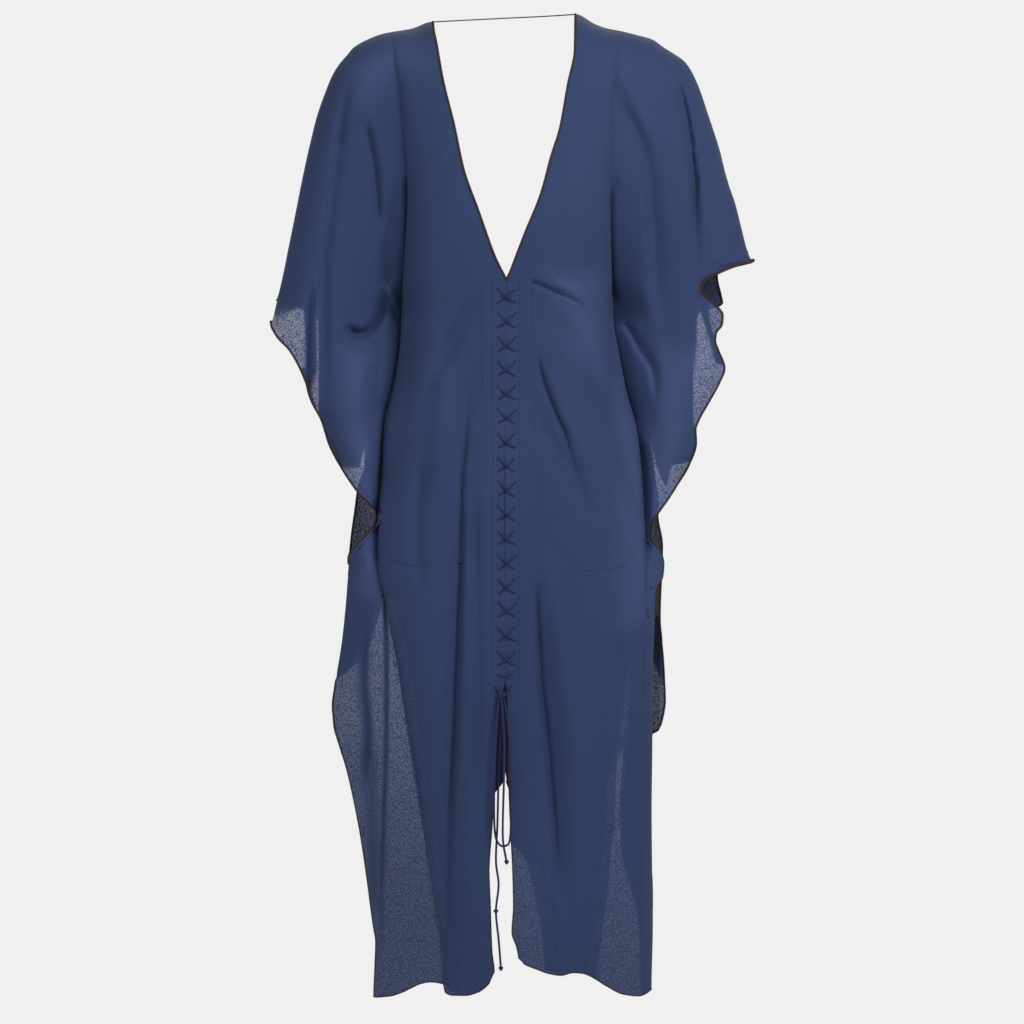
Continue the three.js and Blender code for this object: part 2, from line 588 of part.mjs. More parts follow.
// Routes of the free ends, from the knot down, as [x, y, z].
const LACE_LOOP = [
  [-8.5, -118.5, -898], [-11.5, -120, -930], [-14, -121, -985], [-15, -121, -1040],
  [-13.5, -120, -1076], [-8, -120, -1089], [-1, -121, -1091], [5.5, -121, -1084],
  [7.5, -121, -1050], [7, -121, -1000], [5, -120, -950], [-1.5, -118.5, -898],
];
const LACE_TAIL_LONG = [
  [-5, -116.4, -898.5], [-6, -116, -940], [-9, -116, -1000], [-10.5, -116, -1060],
  [-12.5, -115.5, -1110], [-9, -115, -1142], [-12.5, -115, -1177], [-9, -115, -1214],
  [-6, -114.5, -1252],
];
const LACE_TAIL_SHORT = [
  [-5, -120.8, -898.5], [-2, -123.5, -940], [-2, -125, -1000], [-3.5, -125, -1060],
  [-3, -125, -1086], [1.5, -124, -1112],
];
const NECK_STRING = [
  [-96.2, 2.4, -3], [-60, 5, -1], [-10, 7, 1.6], [50, 5, 4.4], [92.7, 2.4, 7],
];
dress.add(named('lace_loop', cordSolid(LACE_LOOP, LACE_DIAMETER, 46), cloth(LACE_COLOUR)));
dress.add(named('lace_tail_long', cordSolid(LACE_TAIL_LONG, LACE_DIAMETER, 40), cloth(LACE_COLOUR)));
dress.add(named('lace_tail_short', cordSolid(LACE_TAIL_SHORT, LACE_DIAMETER, 28), cloth(LACE_COLOUR)));
dress.add(named('neck_string', cordSolid(NECK_STRING, STRING_DIAMETER, 14), cloth(EDGE_COLOUR)));

export default dress;
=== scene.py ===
"""The look of a long open-sided kaftan dress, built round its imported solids.

Sizes are in millimetres and become metres as each mesh is made. A place on the cloth is given by
two distances: "out" from the middle line of the dress, and "down" from its shoulders. Each half of
the front and of the back is one sheet, cut in one with its wide sleeve.
"""

import logging
import math
from dataclasses import dataclass, field
from enum import Enum

import bpy
import numpy as np
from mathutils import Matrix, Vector


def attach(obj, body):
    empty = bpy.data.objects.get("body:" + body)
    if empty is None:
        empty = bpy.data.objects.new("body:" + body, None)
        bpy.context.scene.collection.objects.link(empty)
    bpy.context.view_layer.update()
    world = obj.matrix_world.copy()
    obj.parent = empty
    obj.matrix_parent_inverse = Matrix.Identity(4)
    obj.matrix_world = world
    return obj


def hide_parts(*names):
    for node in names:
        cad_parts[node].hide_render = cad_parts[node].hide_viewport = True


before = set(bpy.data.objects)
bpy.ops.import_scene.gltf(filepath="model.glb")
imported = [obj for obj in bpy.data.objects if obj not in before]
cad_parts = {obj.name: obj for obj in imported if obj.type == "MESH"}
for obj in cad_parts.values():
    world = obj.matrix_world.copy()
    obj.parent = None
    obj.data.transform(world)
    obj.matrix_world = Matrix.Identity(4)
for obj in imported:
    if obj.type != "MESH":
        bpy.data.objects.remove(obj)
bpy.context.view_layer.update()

LOG = logging.getLogger("kaftan")
MM = 0.001
UV_NAME = "cut"
GAPS = "gaps"
# Name of the attribute of painted light, which makes the cloth's colour paler in patches.
PAINTED_LIGHT = "pale"

# The cloth's thickness, the middle of its wall off the worn shape, and the gap at the sewn sides.
CLOTH = 0.45
WALL_MIDDLE = 0.6
SEAM_GAP = 0.1

# The laced bands, which lie on the fronts.
BAND_WIDTH = 16.5
BAND_TOP = 347.0
BAND_BOTTOM = 872.0
BAND_LIFT = 0.55

# The rounding over the shoulders, and how far in from their seam it starts.
SHOULDER_RADIUS = 46.0
SEWN_IN = 0.6

# How the depth falls from the middle to the sides of the body, and the depth at which folds are full.
BODY_POWER = 3.4
BODY_ROOT = 0.62
FOLDED_FROM = 18.0
LEAST_WING = 12.0

# The plain margin of a free edge, and the roll of a margin that is turned back.
MARGIN = 6.0
ROLL_RADIUS = 4.0
TURNED_FROM = 10.0
LEAST_ROLL = 1e-3

# Rows of points stand closer together beside the cuffs.
DOWNS = (-20, 1320, 671)
CUFFS = (290, 660)
CUFF_FADES = (30, 60)
CUFF_EXTRA = 1.8
HALVINGS = 40

# Shares of the openness of single cloth where other cloth backs it, and on bands and pockets their
# openness and their painted light.
BACKED = 0.2
DOUBLED = {"gaps": 0.1, "pale": 0.05}

# Waves of slight unevenness: their lengths across and along the cloth, and their heights.
WAVES = 9
WAVE_ACROSS = (45, 130)
WAVE_ALONG = (260, 900)
WAVE_HEIGHT = (0.15, 0.4)


class Side(Enum):
    """Which half of the dress a piece belongs to, as the sign of its X."""

    LEFT = -1
    RIGHT = 1


class Facing(Enum):
    """Whether a piece is on the front or the back, as the sign of its Y."""

    FRONT = -1
    BACK = 1


# ------------------------------------------------------------------------------ tables and lines
class Table:
    """A short table with named columns, read as smooth curves without overshoot."""

    def __init__(self, columns: str, *rows: tuple) -> None:
        """Keep each column under its name."""
        self.column = dict(zip(columns.split(), np.array(rows, float).T))

    def read(self, key: str, value: str, at: np.ndarray) -> np.ndarray:
        """Read one column against another.

        Args:
            key: Name of the column that rises from row to row.
            value: Name of the column to read.
            at: Places along the key column; outside the table the end rows hold.

        Returns:
            The smooth curve's values at those places.
        """
        x, y = self.column[key], self.column[value]
        slope = np.diff(y) / np.diff(x)
        before, after = slope[:-1], slope[1:]
        same_way = before * after > 0
        tangent = np.zeros_like(y)
        tangent[1:-1][same_way] = (2 * before * after)[same_way] / (before + after)[same_way]
        at = np.clip(at, x[0], x[-1])
        k = np.clip(np.searchsorted(x, at) - 1, 0, len(x) - 2)
        span = x[k + 1] - x[k]
        t = (at - x[k]) / span
        s = 1 - t
        ends = y[k] * s * s * (1 + 2 * t) + y[k + 1] * t * t * (3 - 2 * t)
        return ends + span * t * s * (s * tangent[k] - t * tangent[k + 1])

    def line(self, key: str, value: str, pieces: int = 6) -> np.ndarray:
        """The smooth curve as closely spaced (value, key) points."""
        x = self.column[key]
        steps = np.arange(pieces * (len(x) - 1) + 1) / pieces
        at = np.interp(steps, np.arange(len(x)), x)
        return np.column_stack([self.read(key, value, at), at])


def smoothstep(t: np.ndarray) -> np.ndarray:
    """Rise smoothly from 0 to 1 as t does, and stay level outside."""
    c = np.clip(t, 0, 1)
    return c * c * (3 - 2 * c)


def through(points: list, pieces: int = 8) -> np.ndarray:
    """A smooth Catmull-Rom curve through given points.

    Args:
        points: The points, of any number of dimensions.
        pieces: How many steps lie between two points.

    Returns:
        The curve's points, one to a row.
    """
    p = np.array(points, float)
    p = np.vstack([2 * p[0] - p[1], p, 2 * p[-1] - p[-2]])
    t = (np.arange(pieces) / pieces)[:, None]
    spans = [
        0.5 * (2 * b + (c - a) * t + (2 * a - 5 * b + 4 * c - d) * t**2 + (3 * b - a - 3 * c + d) * t**3)
        for a, b, c, d in zip(p, p[1:], p[2:], p[3:])
    ]
    return np.vstack([*spans, p[-2:-1]])


def even_steps(path: np.ndarray, step: float) -> np.ndarray:
    """The same path with its points a given step apart along it."""
    along = np.concatenate([[0], np.cumsum(np.linalg.norm(np.diff(path, axis=0), axis=1))])
    at = np.linspace(0, along[-1], max(int(round(along[-1] / step)), 2) + 1)
    return np.column_stack([np.interp(at, along, path[:, k]) for k in range(path.shape[1])])


def nearest_on(line: np.ndarray, down: np.ndarray, out: np.ndarray) -> tuple:
    """Nearest place on a line for each point.

    Args:
        line: The line's (down, out) points.
        down: The points' distances down.
        out: The points' distances out.

    Returns:
        The distances, how far along the line the nearest places are from 0 to 1, and 1 where a
        point lies on the outer side of the line and -1 where it lies on the inner side.
    """
    best = np.full(down.shape, np.inf)
    along = np.zeros(down.shape)
    outer = np.ones(down.shape)
    count = len(line) - 1
    for k in range(count):
        step = line[k + 1] - line[k]
        to_down, to_out = down - line[k, 0], out - line[k, 1]
        t = np.clip((to_down * step[0] + to_out * step[1]) / (step @ step), 0, 1)
        distance = np.hypot(to_down - t * step[0], to_out - t * step[1])
        nearer = distance < best
        best = np.where(nearer, distance, best)
        along = np.where(nearer, (k + t) / count, along)
        outer = np.where(nearer, np.sign(step[0] * to_out - step[1] * to_down + 1e-9), outer)
    return best, along, outer


@dataclass(frozen=True)
class Fold:
    """A trough or a ridge of the cloth.

    Attributes:
        height: How far it stands off the cloth; a trough's height is negative.
        width: Half width of its bell-shaped section.
        line: The (down, out) points that it runs through.
        lean: From -1 to 1, how much wider its outer side is than its inner side.
        dense: How much the cloth gathered in it hides what is behind, from 0 to 1.
        ends: The shares of its length over which it fades in and out.
    """

    height: float
    width: float
    line: tuple
    lean: float = 0.0
    dense: float = 0.0
    ends: tuple = (0.25, 0.2)

    def strength(self, down: np.ndarray, out: np.ndarray) -> np.ndarray:
        """How much of the fold's full height each point has, from 0 to 1."""
        distance, along, outer = nearest_on(through(self.line, 5), down, out)
        width = self.width * (1 + self.lean * outer)
        fade = smoothstep(along / self.ends[0]) * smoothstep((1 - along) / self.ends[1])
        return fade * np.exp(-((distance / width) ** 2))


@dataclass(frozen=True)
class Sheer:
    """A patch where the cloth hangs single and light comes through it; the same patches also mark painted
    light.

    Attributes:
        outline: The (down, out) corners of the patch, in order.
        soft: Over what distance its rim fades.
        share: How much of the cloth's full openness it has; in a patch of painted light, how much paler it
            makes the colour.
    """

    outline: tuple
    soft: float = 4.0
    share: float = 1.0

    def strength(self, down: np.ndarray, out: np.ndarray) -> np.ndarray:
        """How far within the patch each point lies: 0 outside, its share well inside."""
        corners = np.array([*self.outline, self.outline[0]], float)
        distance, _, _ = nearest_on(corners, down, out)
        inside = np.zeros(down.shape, bool)
        for a, b in zip(corners, corners[1:]):
            if a[0] != b[0]:
                crossed = (a[0] > down) != (b[0] > down)
                inside ^= crossed & (out < a[1] + (down - a[0]) * (b[1] - a[1]) / (b[0] - a[0]))
        signed = np.where(inside, distance, -distance)
        return self.share * smoothstep(signed / self.soft + 0.5)


def rumple(down: np.ndarray, out: np.ndarray, seed: int) -> np.ndarray:
    """Slight unevenness of hanging cloth, in millimetres.

    Args:
        down: Distances down.
        out: Distances out.
        seed: Picks one of many such patterns.

    Returns:
        How far each point stands off the even cloth.
    """
    draw = np.random.default_rng(seed)
    height = np.zeros(down.shape)
    for _ in range(WAVES):
        across = 2 * math.pi / draw.uniform(*WAVE_ACROSS)
        along = 2 * math.pi / draw.uniform(*WAVE_ALONG) * draw.choice([-1, 1])
        high = draw.uniform(*WAVE_HEIGHT)
        height += high * np.sin(across * out + along * down + draw.uniform(0, 6.28))
    return height


# -------------------------------------------------------------------------------- mesh building
class Builder:
    """Collects the vertices, faces and map of one piece, all in millimetres."""

    # A way that no cord or stitch starts in.
    ASIDE = (0.31, 0.93, 0.17)

    def __init__(self) -> None:
        """Start with nothing."""
        self.points: list[np.ndarray] = []
        self.faces: list[list[int]] = []
        self.map: list[np.ndarray] = []
        self.count = 0

    def add(self, points: np.ndarray, faces: list, uv: np.ndarray) -> None:
        """Add a patch whose faces count its own points from 0."""
        self.faces += [[k + self.count for k in face] for face in faces]
        self.points.append(points)
        self.map.append(uv)
        self.count += len(points)

    def grid(self, points: np.ndarray, uv: np.ndarray, flip: bool) -> None:
        """Add a grid of points as an open sheet.

        Args:
            points: Columns by rows by 3.
            uv: Columns by rows by 2.
            flip: True where the faces have to be turned round to look outwards.
        """
        columns, rows = points.shape[:2]
        index = np.arange(columns * rows).reshape(columns, rows)
        corners = [index[:-1, :-1], index[1:, :-1], index[1:, 1:], index[:-1, 1:]]
        faces = np.stack(corners[::-1] if flip else corners, axis=-1).reshape(-1, 4)
        self.add(points.reshape(-1, 3), faces.tolist(), uv.reshape(-1, 2))

    def tube(self, path: np.ndarray, radius: np.ndarray | float, sides: int = 8) -> None:
        """Add a round closed tube along a path.

        Args:
            path: The points of its middle line.
            radius: Its radius, one for all or one for each point.
            sides: How many sides its section has.
        """
        radius = np.broadcast_to(radius, len(path))
        tangent = np.gradient(path, axis=0)
        tangent /= np.linalg.norm(tangent, axis=1)[:, None]
        start = np.cross(tangent[0], self.ASIDE)
        across = [start / np.linalg.norm(start)]
        for k in range(1, len(path)):
            turned = across[-1] - tangent[k] * (across[-1] @ tangent[k])
            across.append(turned / np.linalg.norm(turned))
        across = np.array(across)
        beside = np.cross(tangent, across)
        angle = 2 * math.pi * np.arange(sides) / sides
        ring = across[:, None] * np.cos(angle)[:, None] + beside[:, None] * np.sin(angle)[:, None]
        points = path[:, None] + ring * radius[:, None, None]
        along = np.concatenate([[0], np.cumsum(np.linalg.norm(np.diff(path, axis=0), axis=1))])
        uv = np.stack(np.broadcast_arrays(np.arange(sides) / sides, along[:, None] * MM), axis=-1)
        index = np.arange(len(path) * sides).reshape(len(path), sides)
        after = np.roll(index, -1, axis=1)
        faces = np.stack([index[:-1], after[:-1], after[1:], index[1:]], axis=-1).reshape(-1, 4)
        caps = [index[0][::-1].tolist(), index[-1].tolist()]
        self.add(points.reshape(-1, 3), faces.tolist() + caps, uv.reshape(-1, 2))

    def take(self, pattern: bpy.types.Object, places: list) -> None:
        """Add copies of a modelled pattern piece, which is then removed.

        Args:
            pattern: A piece modelled at the origin, in metres.
            places: For each copy its middle and its three axes, as four rows in millimetres.
        """
        local = np.array([v.co for v in pattern.data.vertices], float) / MM
        faces = [list(face.vertices) for face in pattern.data.polygons]
        for middle, *axes in places:
            self.add(middle + local @ np.array(axes), faces, local[:, :2] * MM)
        bpy.data.objects.remove(pattern)

    def piece(self, name: str) -> bpy.types.Object:
        """Make the piece, smooth, at the origin and in metres."""
        mesh = bpy.data.meshes.new(name)
        mesh.from_pydata(np.vstack(self.points) * MM, [], self.faces)
        uv = np.vstack(self.map)
        corner = np.zeros(len(mesh.loops), int)
        mesh.loops.foreach_get("vertex_index", corner)
        mesh.uv_layers.new(name=UV_NAME).data.foreach_set("uv", uv[corner].ravel())
        made = bpy.data.objects.new(name, mesh)
        bpy.context.scene.collection.objects.link(made)
        select_only(made)
        bpy.ops.object.shade_smooth()
        return made


def select_only(piece: bpy.types.Object | None) -> None:
    """Leave just this piece selected and active."""
    bpy.ops.object.select_all(action="DESELECT")
    if piece is not None:
        piece.select_set(True)
        bpy.context.view_layer.objects.active = piece


def finish_with(piece: bpy.types.Object, kind: str, **settings: object) -> None:
    """Add a modifier with these settings and apply it."""
    select_only(piece)
    modifier = piece.modifiers.new(kind.title(), kind)
    for name, value in settings.items():
        setattr(modifier, name, value)
    bpy.ops.object.modifier_apply(modifier=modifier.name)


def dress(piece: bpy.types.Object, material: bpy.types.Material, slot: str, *nodes: str) -> None:
    """Give a piece its material, hang it from the root body and hide the solids that it stands for.

    Args:
        piece: The finished piece.
        material: Its material.
        slot: The record's slot for its finish; not used.
        nodes: The solids that it stands for.
    """
    piece.data.materials.clear()
    piece.data.materials.append(material)
    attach(piece, "root")
    if nodes:
        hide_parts(*nodes)
    triangles = sum(len(face.vertices) - 2 for face in piece.data.polygons)
    LOG.info("%s: %d triangles", piece.name, triangles)


# ------------------------------------------------------------------------------------ finishes
class Value:
    """A number that varies over a surface, worked on with ordinary operators."""

    def __init__(self, nodes: "Nodes", socket: bpy.types.NodeSocket) -> None:
        """Wrap an output socket."""
        self.nodes = nodes
        self.socket = socket

    def _with(self, operation: str, *operands: object) -> "Value":
        """Add one Math node on these operands."""
        inputs = dict(enumerate(operands))
        return self.nodes.value("ShaderNodeMath", {"operation": operation}, inputs)

    def __add__(self, other: object) -> "Value":
        """Sum."""
        return self._with("ADD", self, other)

    def __sub__(self, other: object) -> "Value":
        """Difference."""
        return self._with("SUBTRACT", self, other)

    def __rsub__(self, other: object) -> "Value":
        """Difference from a number."""
        return self._with("SUBTRACT", other, self)

    def __mul__(self, other: object) -> "Value":
        """Product."""
        return self._with("MULTIPLY", self, other)

    __radd__ = __add__
    __rmul__ = __mul__

    def sine(self) -> "Value":
        """Sine, of radians."""
        return self._with("SINE", self)

    def between(self, low: float, high: float) -> "Value":
        """The value held between two limits."""
        return self._with("MINIMUM", self._with("MAXIMUM", self, low), high)


class Nodes:
    """The node tree of a material or of the surroundings."""

    def __init__(self, owner: bpy.types.Material | bpy.types.World) -> None:
        """Clear the owner's tree."""
        owner.use_nodes = True
        self.owner = owner
        self.tree = owner.node_tree
        self.tree.nodes.clear()

    def add(self, kind: str, settings: dict | None = None, inputs: dict | None = None) -> bpy.types.Node:
        """Add a node.

        Args:
            kind: The node's type.
            settings: Its own settings, which are set first.
            inputs: Values or links of its sockets, by name or number.

        Returns:
            The node.
        """
        node = self.tree.nodes.new(kind)
        for name, value in (settings or {}).items():
            setattr(node, name, value)
        for name, value in (inputs or {}).items():
            socket = node.inputs[name]
            if isinstance(value, Value):
                self.tree.links.new(value.socket, socket)
            elif isinstance(value, bpy.types.NodeSocket):
                self.tree.links.new(value, socket)
            else:
                socket.default_value = value
        return node

    def value(self, kind: str, settings: dict, inputs: dict, output: object = 0) -> Value:
        """Add a node and wrap one of its outputs."""
        return Value(self, self.add(kind, settings, inputs).outputs[output])

    def noise(self, vector: bpy.types.NodeSocket, scale: tuple, detail: float) -> Value:
        """Noise about a half, stretched by its scale along each axis."""
        mapped = self.add("ShaderNodeMapping", {}, {"Vector": vector, "Scale": scale})
        inputs = {"Vector": mapped.outputs[0], "Scale": 1.0, "Detail": detail}
        return self.value("ShaderNodeTexNoise", {}, inputs)

    def grain(self, vector: bpy.types.NodeSocket, scale: float) -> Value:
        """Nearness to the middle of a random cell: the grain of an open weave."""
        return 1.0 - self.value("ShaderNodeTexVoronoi", {}, {"Vector": vector, "Scale": scale})

    def blend(self, factor: Value, low: tuple, high: tuple) -> bpy.types.NodeSocket:
        """A colour between two, by a factor from 0 to 1."""
        inputs = {0: factor, 6: (*low, 1), 7: (*high, 1)}
        return self.add("ShaderNodeMix", {"data_type": "RGBA"}, inputs).outputs[2]

    def finish(self, height: Value, depth: float, inputs: dict) -> bpy.types.Material:
        """Close the tree with a bump and a surface.

        Args:
            height: The relief, from 0 to 1.
            depth: How deep the relief is, in metres.
            inputs: Values or links of the surface's sockets.

        Returns:
            The material.
        """
        relief = {"Height": height, "Distance": depth, "Strength": 1.0}
        bump = self.add("ShaderNodeBump", {}, relief)
        inputs = {**inputs, "Normal": bump.outputs[0]}
        surface = self.add("ShaderNodeBsdfPrincipled", {}, inputs)
        self.add("ShaderNodeOutputMaterial", {}, {"Surface": surface.outputs[0]})
        return self.owner


@dataclass(frozen=True)
class Crepe:
    """Light navy crepe: pebbled, matt, and sheer where it hangs single, with painted light paling its
    colour.

    Attributes:
        name: The material's name.
        dark: Colour in the hollows of the weave, darker there as painted shade.
        light: Colour of the palest yarn, and the colour that painted light lifts the cloth towards.
        tone: The plain cloth's place between the two, from 0 to 2.
        grain: Spots in each metre of the weave.
        spots: The least, the mean and the greatest gap, as shares of the cloth's openness.
        sharp: How much the gaps between the yarns differ from spot to spot.
        solid: Openness up to which the painted light of light through the cloth doesn't pale its colour.
        glow: How much the painted light of light through the cloth pales its colour beyond that.
        relief: Depth of the weave, in metres.
    """

    name: str = "navy_crepe"
    dark: tuple = (0.0240, 0.0400, 0.1000)
    light: tuple = (0.0820, 0.1210, 0.2840)
    tone: float = 0.13
    grain: float = 430.0
    spots: tuple = (0.1, 1.07, 2.5)
    sharp: float = 2.2
    solid: float = 0.09
    glow: float = 3.4
    relief: float = 0.00003

    def material(self) -> bpy.types.Material:
        """Build the material."""
        n = Nodes(bpy.data.materials.new(self.name))
        uv = n.add("ShaderNodeUVMap", {"uv_map": UV_NAME}).outputs[0]
        place = n.add("ShaderNodeTexCoord").outputs["Object"]
        gaps = n.value("ShaderNodeAttribute", {"attribute_name": GAPS}, {}, "Fac")
        pale = n.value("ShaderNodeAttribute", {"attribute_name": PAINTED_LIGHT}, {}, "Fac")
        speck = n.grain(place, self.grain)
        yarn = n.noise(uv, (2600, 420, 1), 1.0)
        streaks = n.noise(uv, (260, 14, 1), 2.0)
        cloudy = n.noise(place, (7, 7, 4), 2.0)
        # Painted shade: the yarn that raises the weave also darkens its hollows; streaks and clouds are
        # random tone.
        uneven = (yarn - 0.5) * 0.16 + (streaks - 0.5) * 0.1 + (cloudy - 0.5) * 0.2
        # Painted light: open cloth and the pale patches get a paler colour, standing in for light through
        # the cloth and light falling on it.
        tone = uneven + (gaps - self.solid).between(0, 1) * self.glow + pale + self.tone
        least, mean, most = self.spots
        opening = ((speck - 0.5) * self.sharp + mean).between(least, most)
        inputs = {
            "Base Color": n.blend((tone * 0.5).between(0, 1), self.dark, self.light),
            "Roughness": (0.86 - yarn * 0.12).between(0, 1),
            "Alpha": (1 - gaps * opening).between(0, 1),
            "Specular IOR Level": 0.1,
            "Sheen Weight": 0.03,
            "Sheen Roughness": 0.6,
        }
        return n.finish(yarn, self.relief, inputs)


@dataclass(frozen=True)
class Thread:
    """Thread or cord with a twist, mapped along its length.

    Attributes:
        name: The material's name.
        dark: Colour between the strands, darker there as painted shade.
        light: Colour on the strands.
        turns: Twists in each metre.
        strands: How many strands are twisted together.
        relief: Depth of the twist, in metres.
    """

    name: str
    dark: tuple
    light: tuple
    turns: float
    strands: int = 2
    relief: float = 0.00012

    def material(self) -> bpy.types.Material:
        """Build the material."""
        n = Nodes(bpy.data.materials.new(self.name))
        uv = n.add("ShaderNodeUVMap", {"uv_map": UV_NAME}).outputs[0]
        axes = n.add("ShaderNodeSeparateXYZ", {}, {"Vector": uv})
        round_it, along = (Value(n, axes.outputs[k]) for k in (0, 1))
        angle = round_it * (self.strands * 2 * math.pi) + along * (self.turns * 2 * math.pi)
        twist = angle.sine() * 0.5 + 0.5
        fuzz = n.noise(uv, (9, 1600, 1), 2.0)
        # Painted shade: the twist and fuzz that raise the cord also darken it where they dip.
        tone = (twist * 0.6 + fuzz * 0.8 - 0.2).between(0, 1)
        inputs = {
            "Base Color": n.blend(tone, self.dark, self.light),
            "Roughness": (0.8 - twist * 0.1).between(0, 1),
            "Specular IOR Level": 0.3,
        }
        return n.finish(twist * 0.8 + fuzz * 0.2, self.relief, inputs)


@dataclass(frozen=True)
class Paper:
    """Plain pale studio floor.

    Attributes:
        name: The material's name.
        colour: Its palest colour.
        shade: Brightness of its darkest spots, as a share of that.
    """

    name: str = "pale_floor"
    colour: tuple = (0.80, 0.80, 0.80)
    shade: float = 0.98

    def material(self) -> bpy.types.Material:
        """Build the material."""
        n = Nodes(bpy.data.materials.new(self.name))
        place = n.add("ShaderNodeTexCoord").outputs["Object"]
        grain = n.noise(place, (60, 60, 60), 2.0)
        low = tuple(c * self.shade for c in self.colour)
        inputs = {"Base Color": n.blend(grain, low, self.colour), "Roughness": 0.9}
        return n.finish(grain, 0.0001, inputs)


# -------------------------------------------------------------------------------------- studio
# Each lamp's name, its place and the place it points at in metres, its size and its power.
LAMPS = (
    ("key", (1.1, -1.8, 0.9), (0.0, 0.0, -0.3), 0.9, 47.0),
    ("fill", (-1.9, -1.7, 0.5), (0.0, 0.0, -0.3), 1.6, 15.0),
    ("back", (0.3, 2.4, 1.2), (0.0, 0.0, -0.5), 1.6, 30.0),
)


@dataclass
class Studio:
    """Camera, lights and floor.

    Attributes:
        frame_width: Width of the view at the dress.
        aim: The point that the camera looks at.
        distance: How far in front of the dress the camera stands.
        backdrop: Brightness of the surroundings, level with the dress and below it.
        overhead: Brightness of the surroundings above.
        dusk: The heights between which the one turns into the other, from 0 to 1.
        sensor: Width of the camera's sensor, in millimetres.
        floor_down: How far the floor lies below the shoulders.
        floor_radius: Radius of the floor.
    """

    frame_width: float = 1351.7
    aim: tuple = (8.6, -50.0, -652.0)
    distance: float = 16000.0
    backdrop: float = 0.871
    overhead: float = 0.22
    dusk: tuple = (0.1, 0.4)
    sensor: float = 36.0
    floor_down: float = 1500.0
    floor_radius: float = 3600.0

    def camera(self) -> None:
        """Place the camera level with the middle of the dress, straight in front."""
        data = bpy.data.cameras.new("view")
        data.sensor_width = self.sensor
        data.lens = self.sensor * self.distance / self.frame_width
        data.clip_end = 100.0
        camera = bpy.data.objects.new("view", data)
        camera.location = Vector((self.aim[0], self.aim[1] - self.distance, self.aim[2])) * MM
        camera.rotation_euler = (math.pi / 2, 0, 0)
        bpy.context.scene.collection.objects.link(camera)
        bpy.context.scene.camera = camera

    def lamp(self, name: str, place: tuple, target: tuple, size: float, power: float) -> None:
        """Hang one soft square lamp, with its places in metres."""
        data = bpy.data.lights.new(name, "AREA")
        data.size = size
        data.energy = power
        lamp = bpy.data.objects.new(name, data)
        lamp.location = place
        lamp.rotation_euler = (Vector(target) - Vector(place)).to_track_quat("-Z", "Y").to_euler()
        bpy.context.scene.collection.objects.link(lamp)

    def light(self) -> None:
        """Light the dress from above and in front, in pale even surroundings."""
        world = bpy.data.worlds.new("pale_surroundings")
        n = Nodes(world)
        way = n.add("ShaderNodeTexCoord").outputs["Generated"]
        height = n.add("ShaderNodeSeparateXYZ", {}, {"Vector": way}).outputs["Z"]
        low, high = self.dusk
        limits = {"From Min": low, "From Max": high, "To Min": self.backdrop, "To Max": self.overhead}
        settings = {"interpolation_type": "SMOOTHSTEP"}
        glow = n.add("ShaderNodeMapRange", settings, {"Value": height, **limits}).outputs[0]
        inputs = {"Color": (1, 1, 1, 1), "Strength": glow}
        light = n.add("ShaderNodeBackground", {}, inputs).outputs[0]
        n.add("ShaderNodeOutputWorld", {}, {"Surface": light})
        bpy.context.scene.world = world
        bpy.context.scene.view_settings.view_transform = "Standard"
        for lamp in LAMPS:
            self.lamp(*lamp)

    def floor(self) -> None:
        """Lay the floor under the dress, out of the main view."""
        select_only(None)
        bpy.ops.mesh.primitive_circle_add(
            vertices=96, radius=self.floor_radius * MM, fill_type="NGON",
            location=(0, 0, -self.floor_down * MM),
        )
        floor = bpy.context.object
        floor.name = "floor"
        floor.data.materials.append(Paper().material())


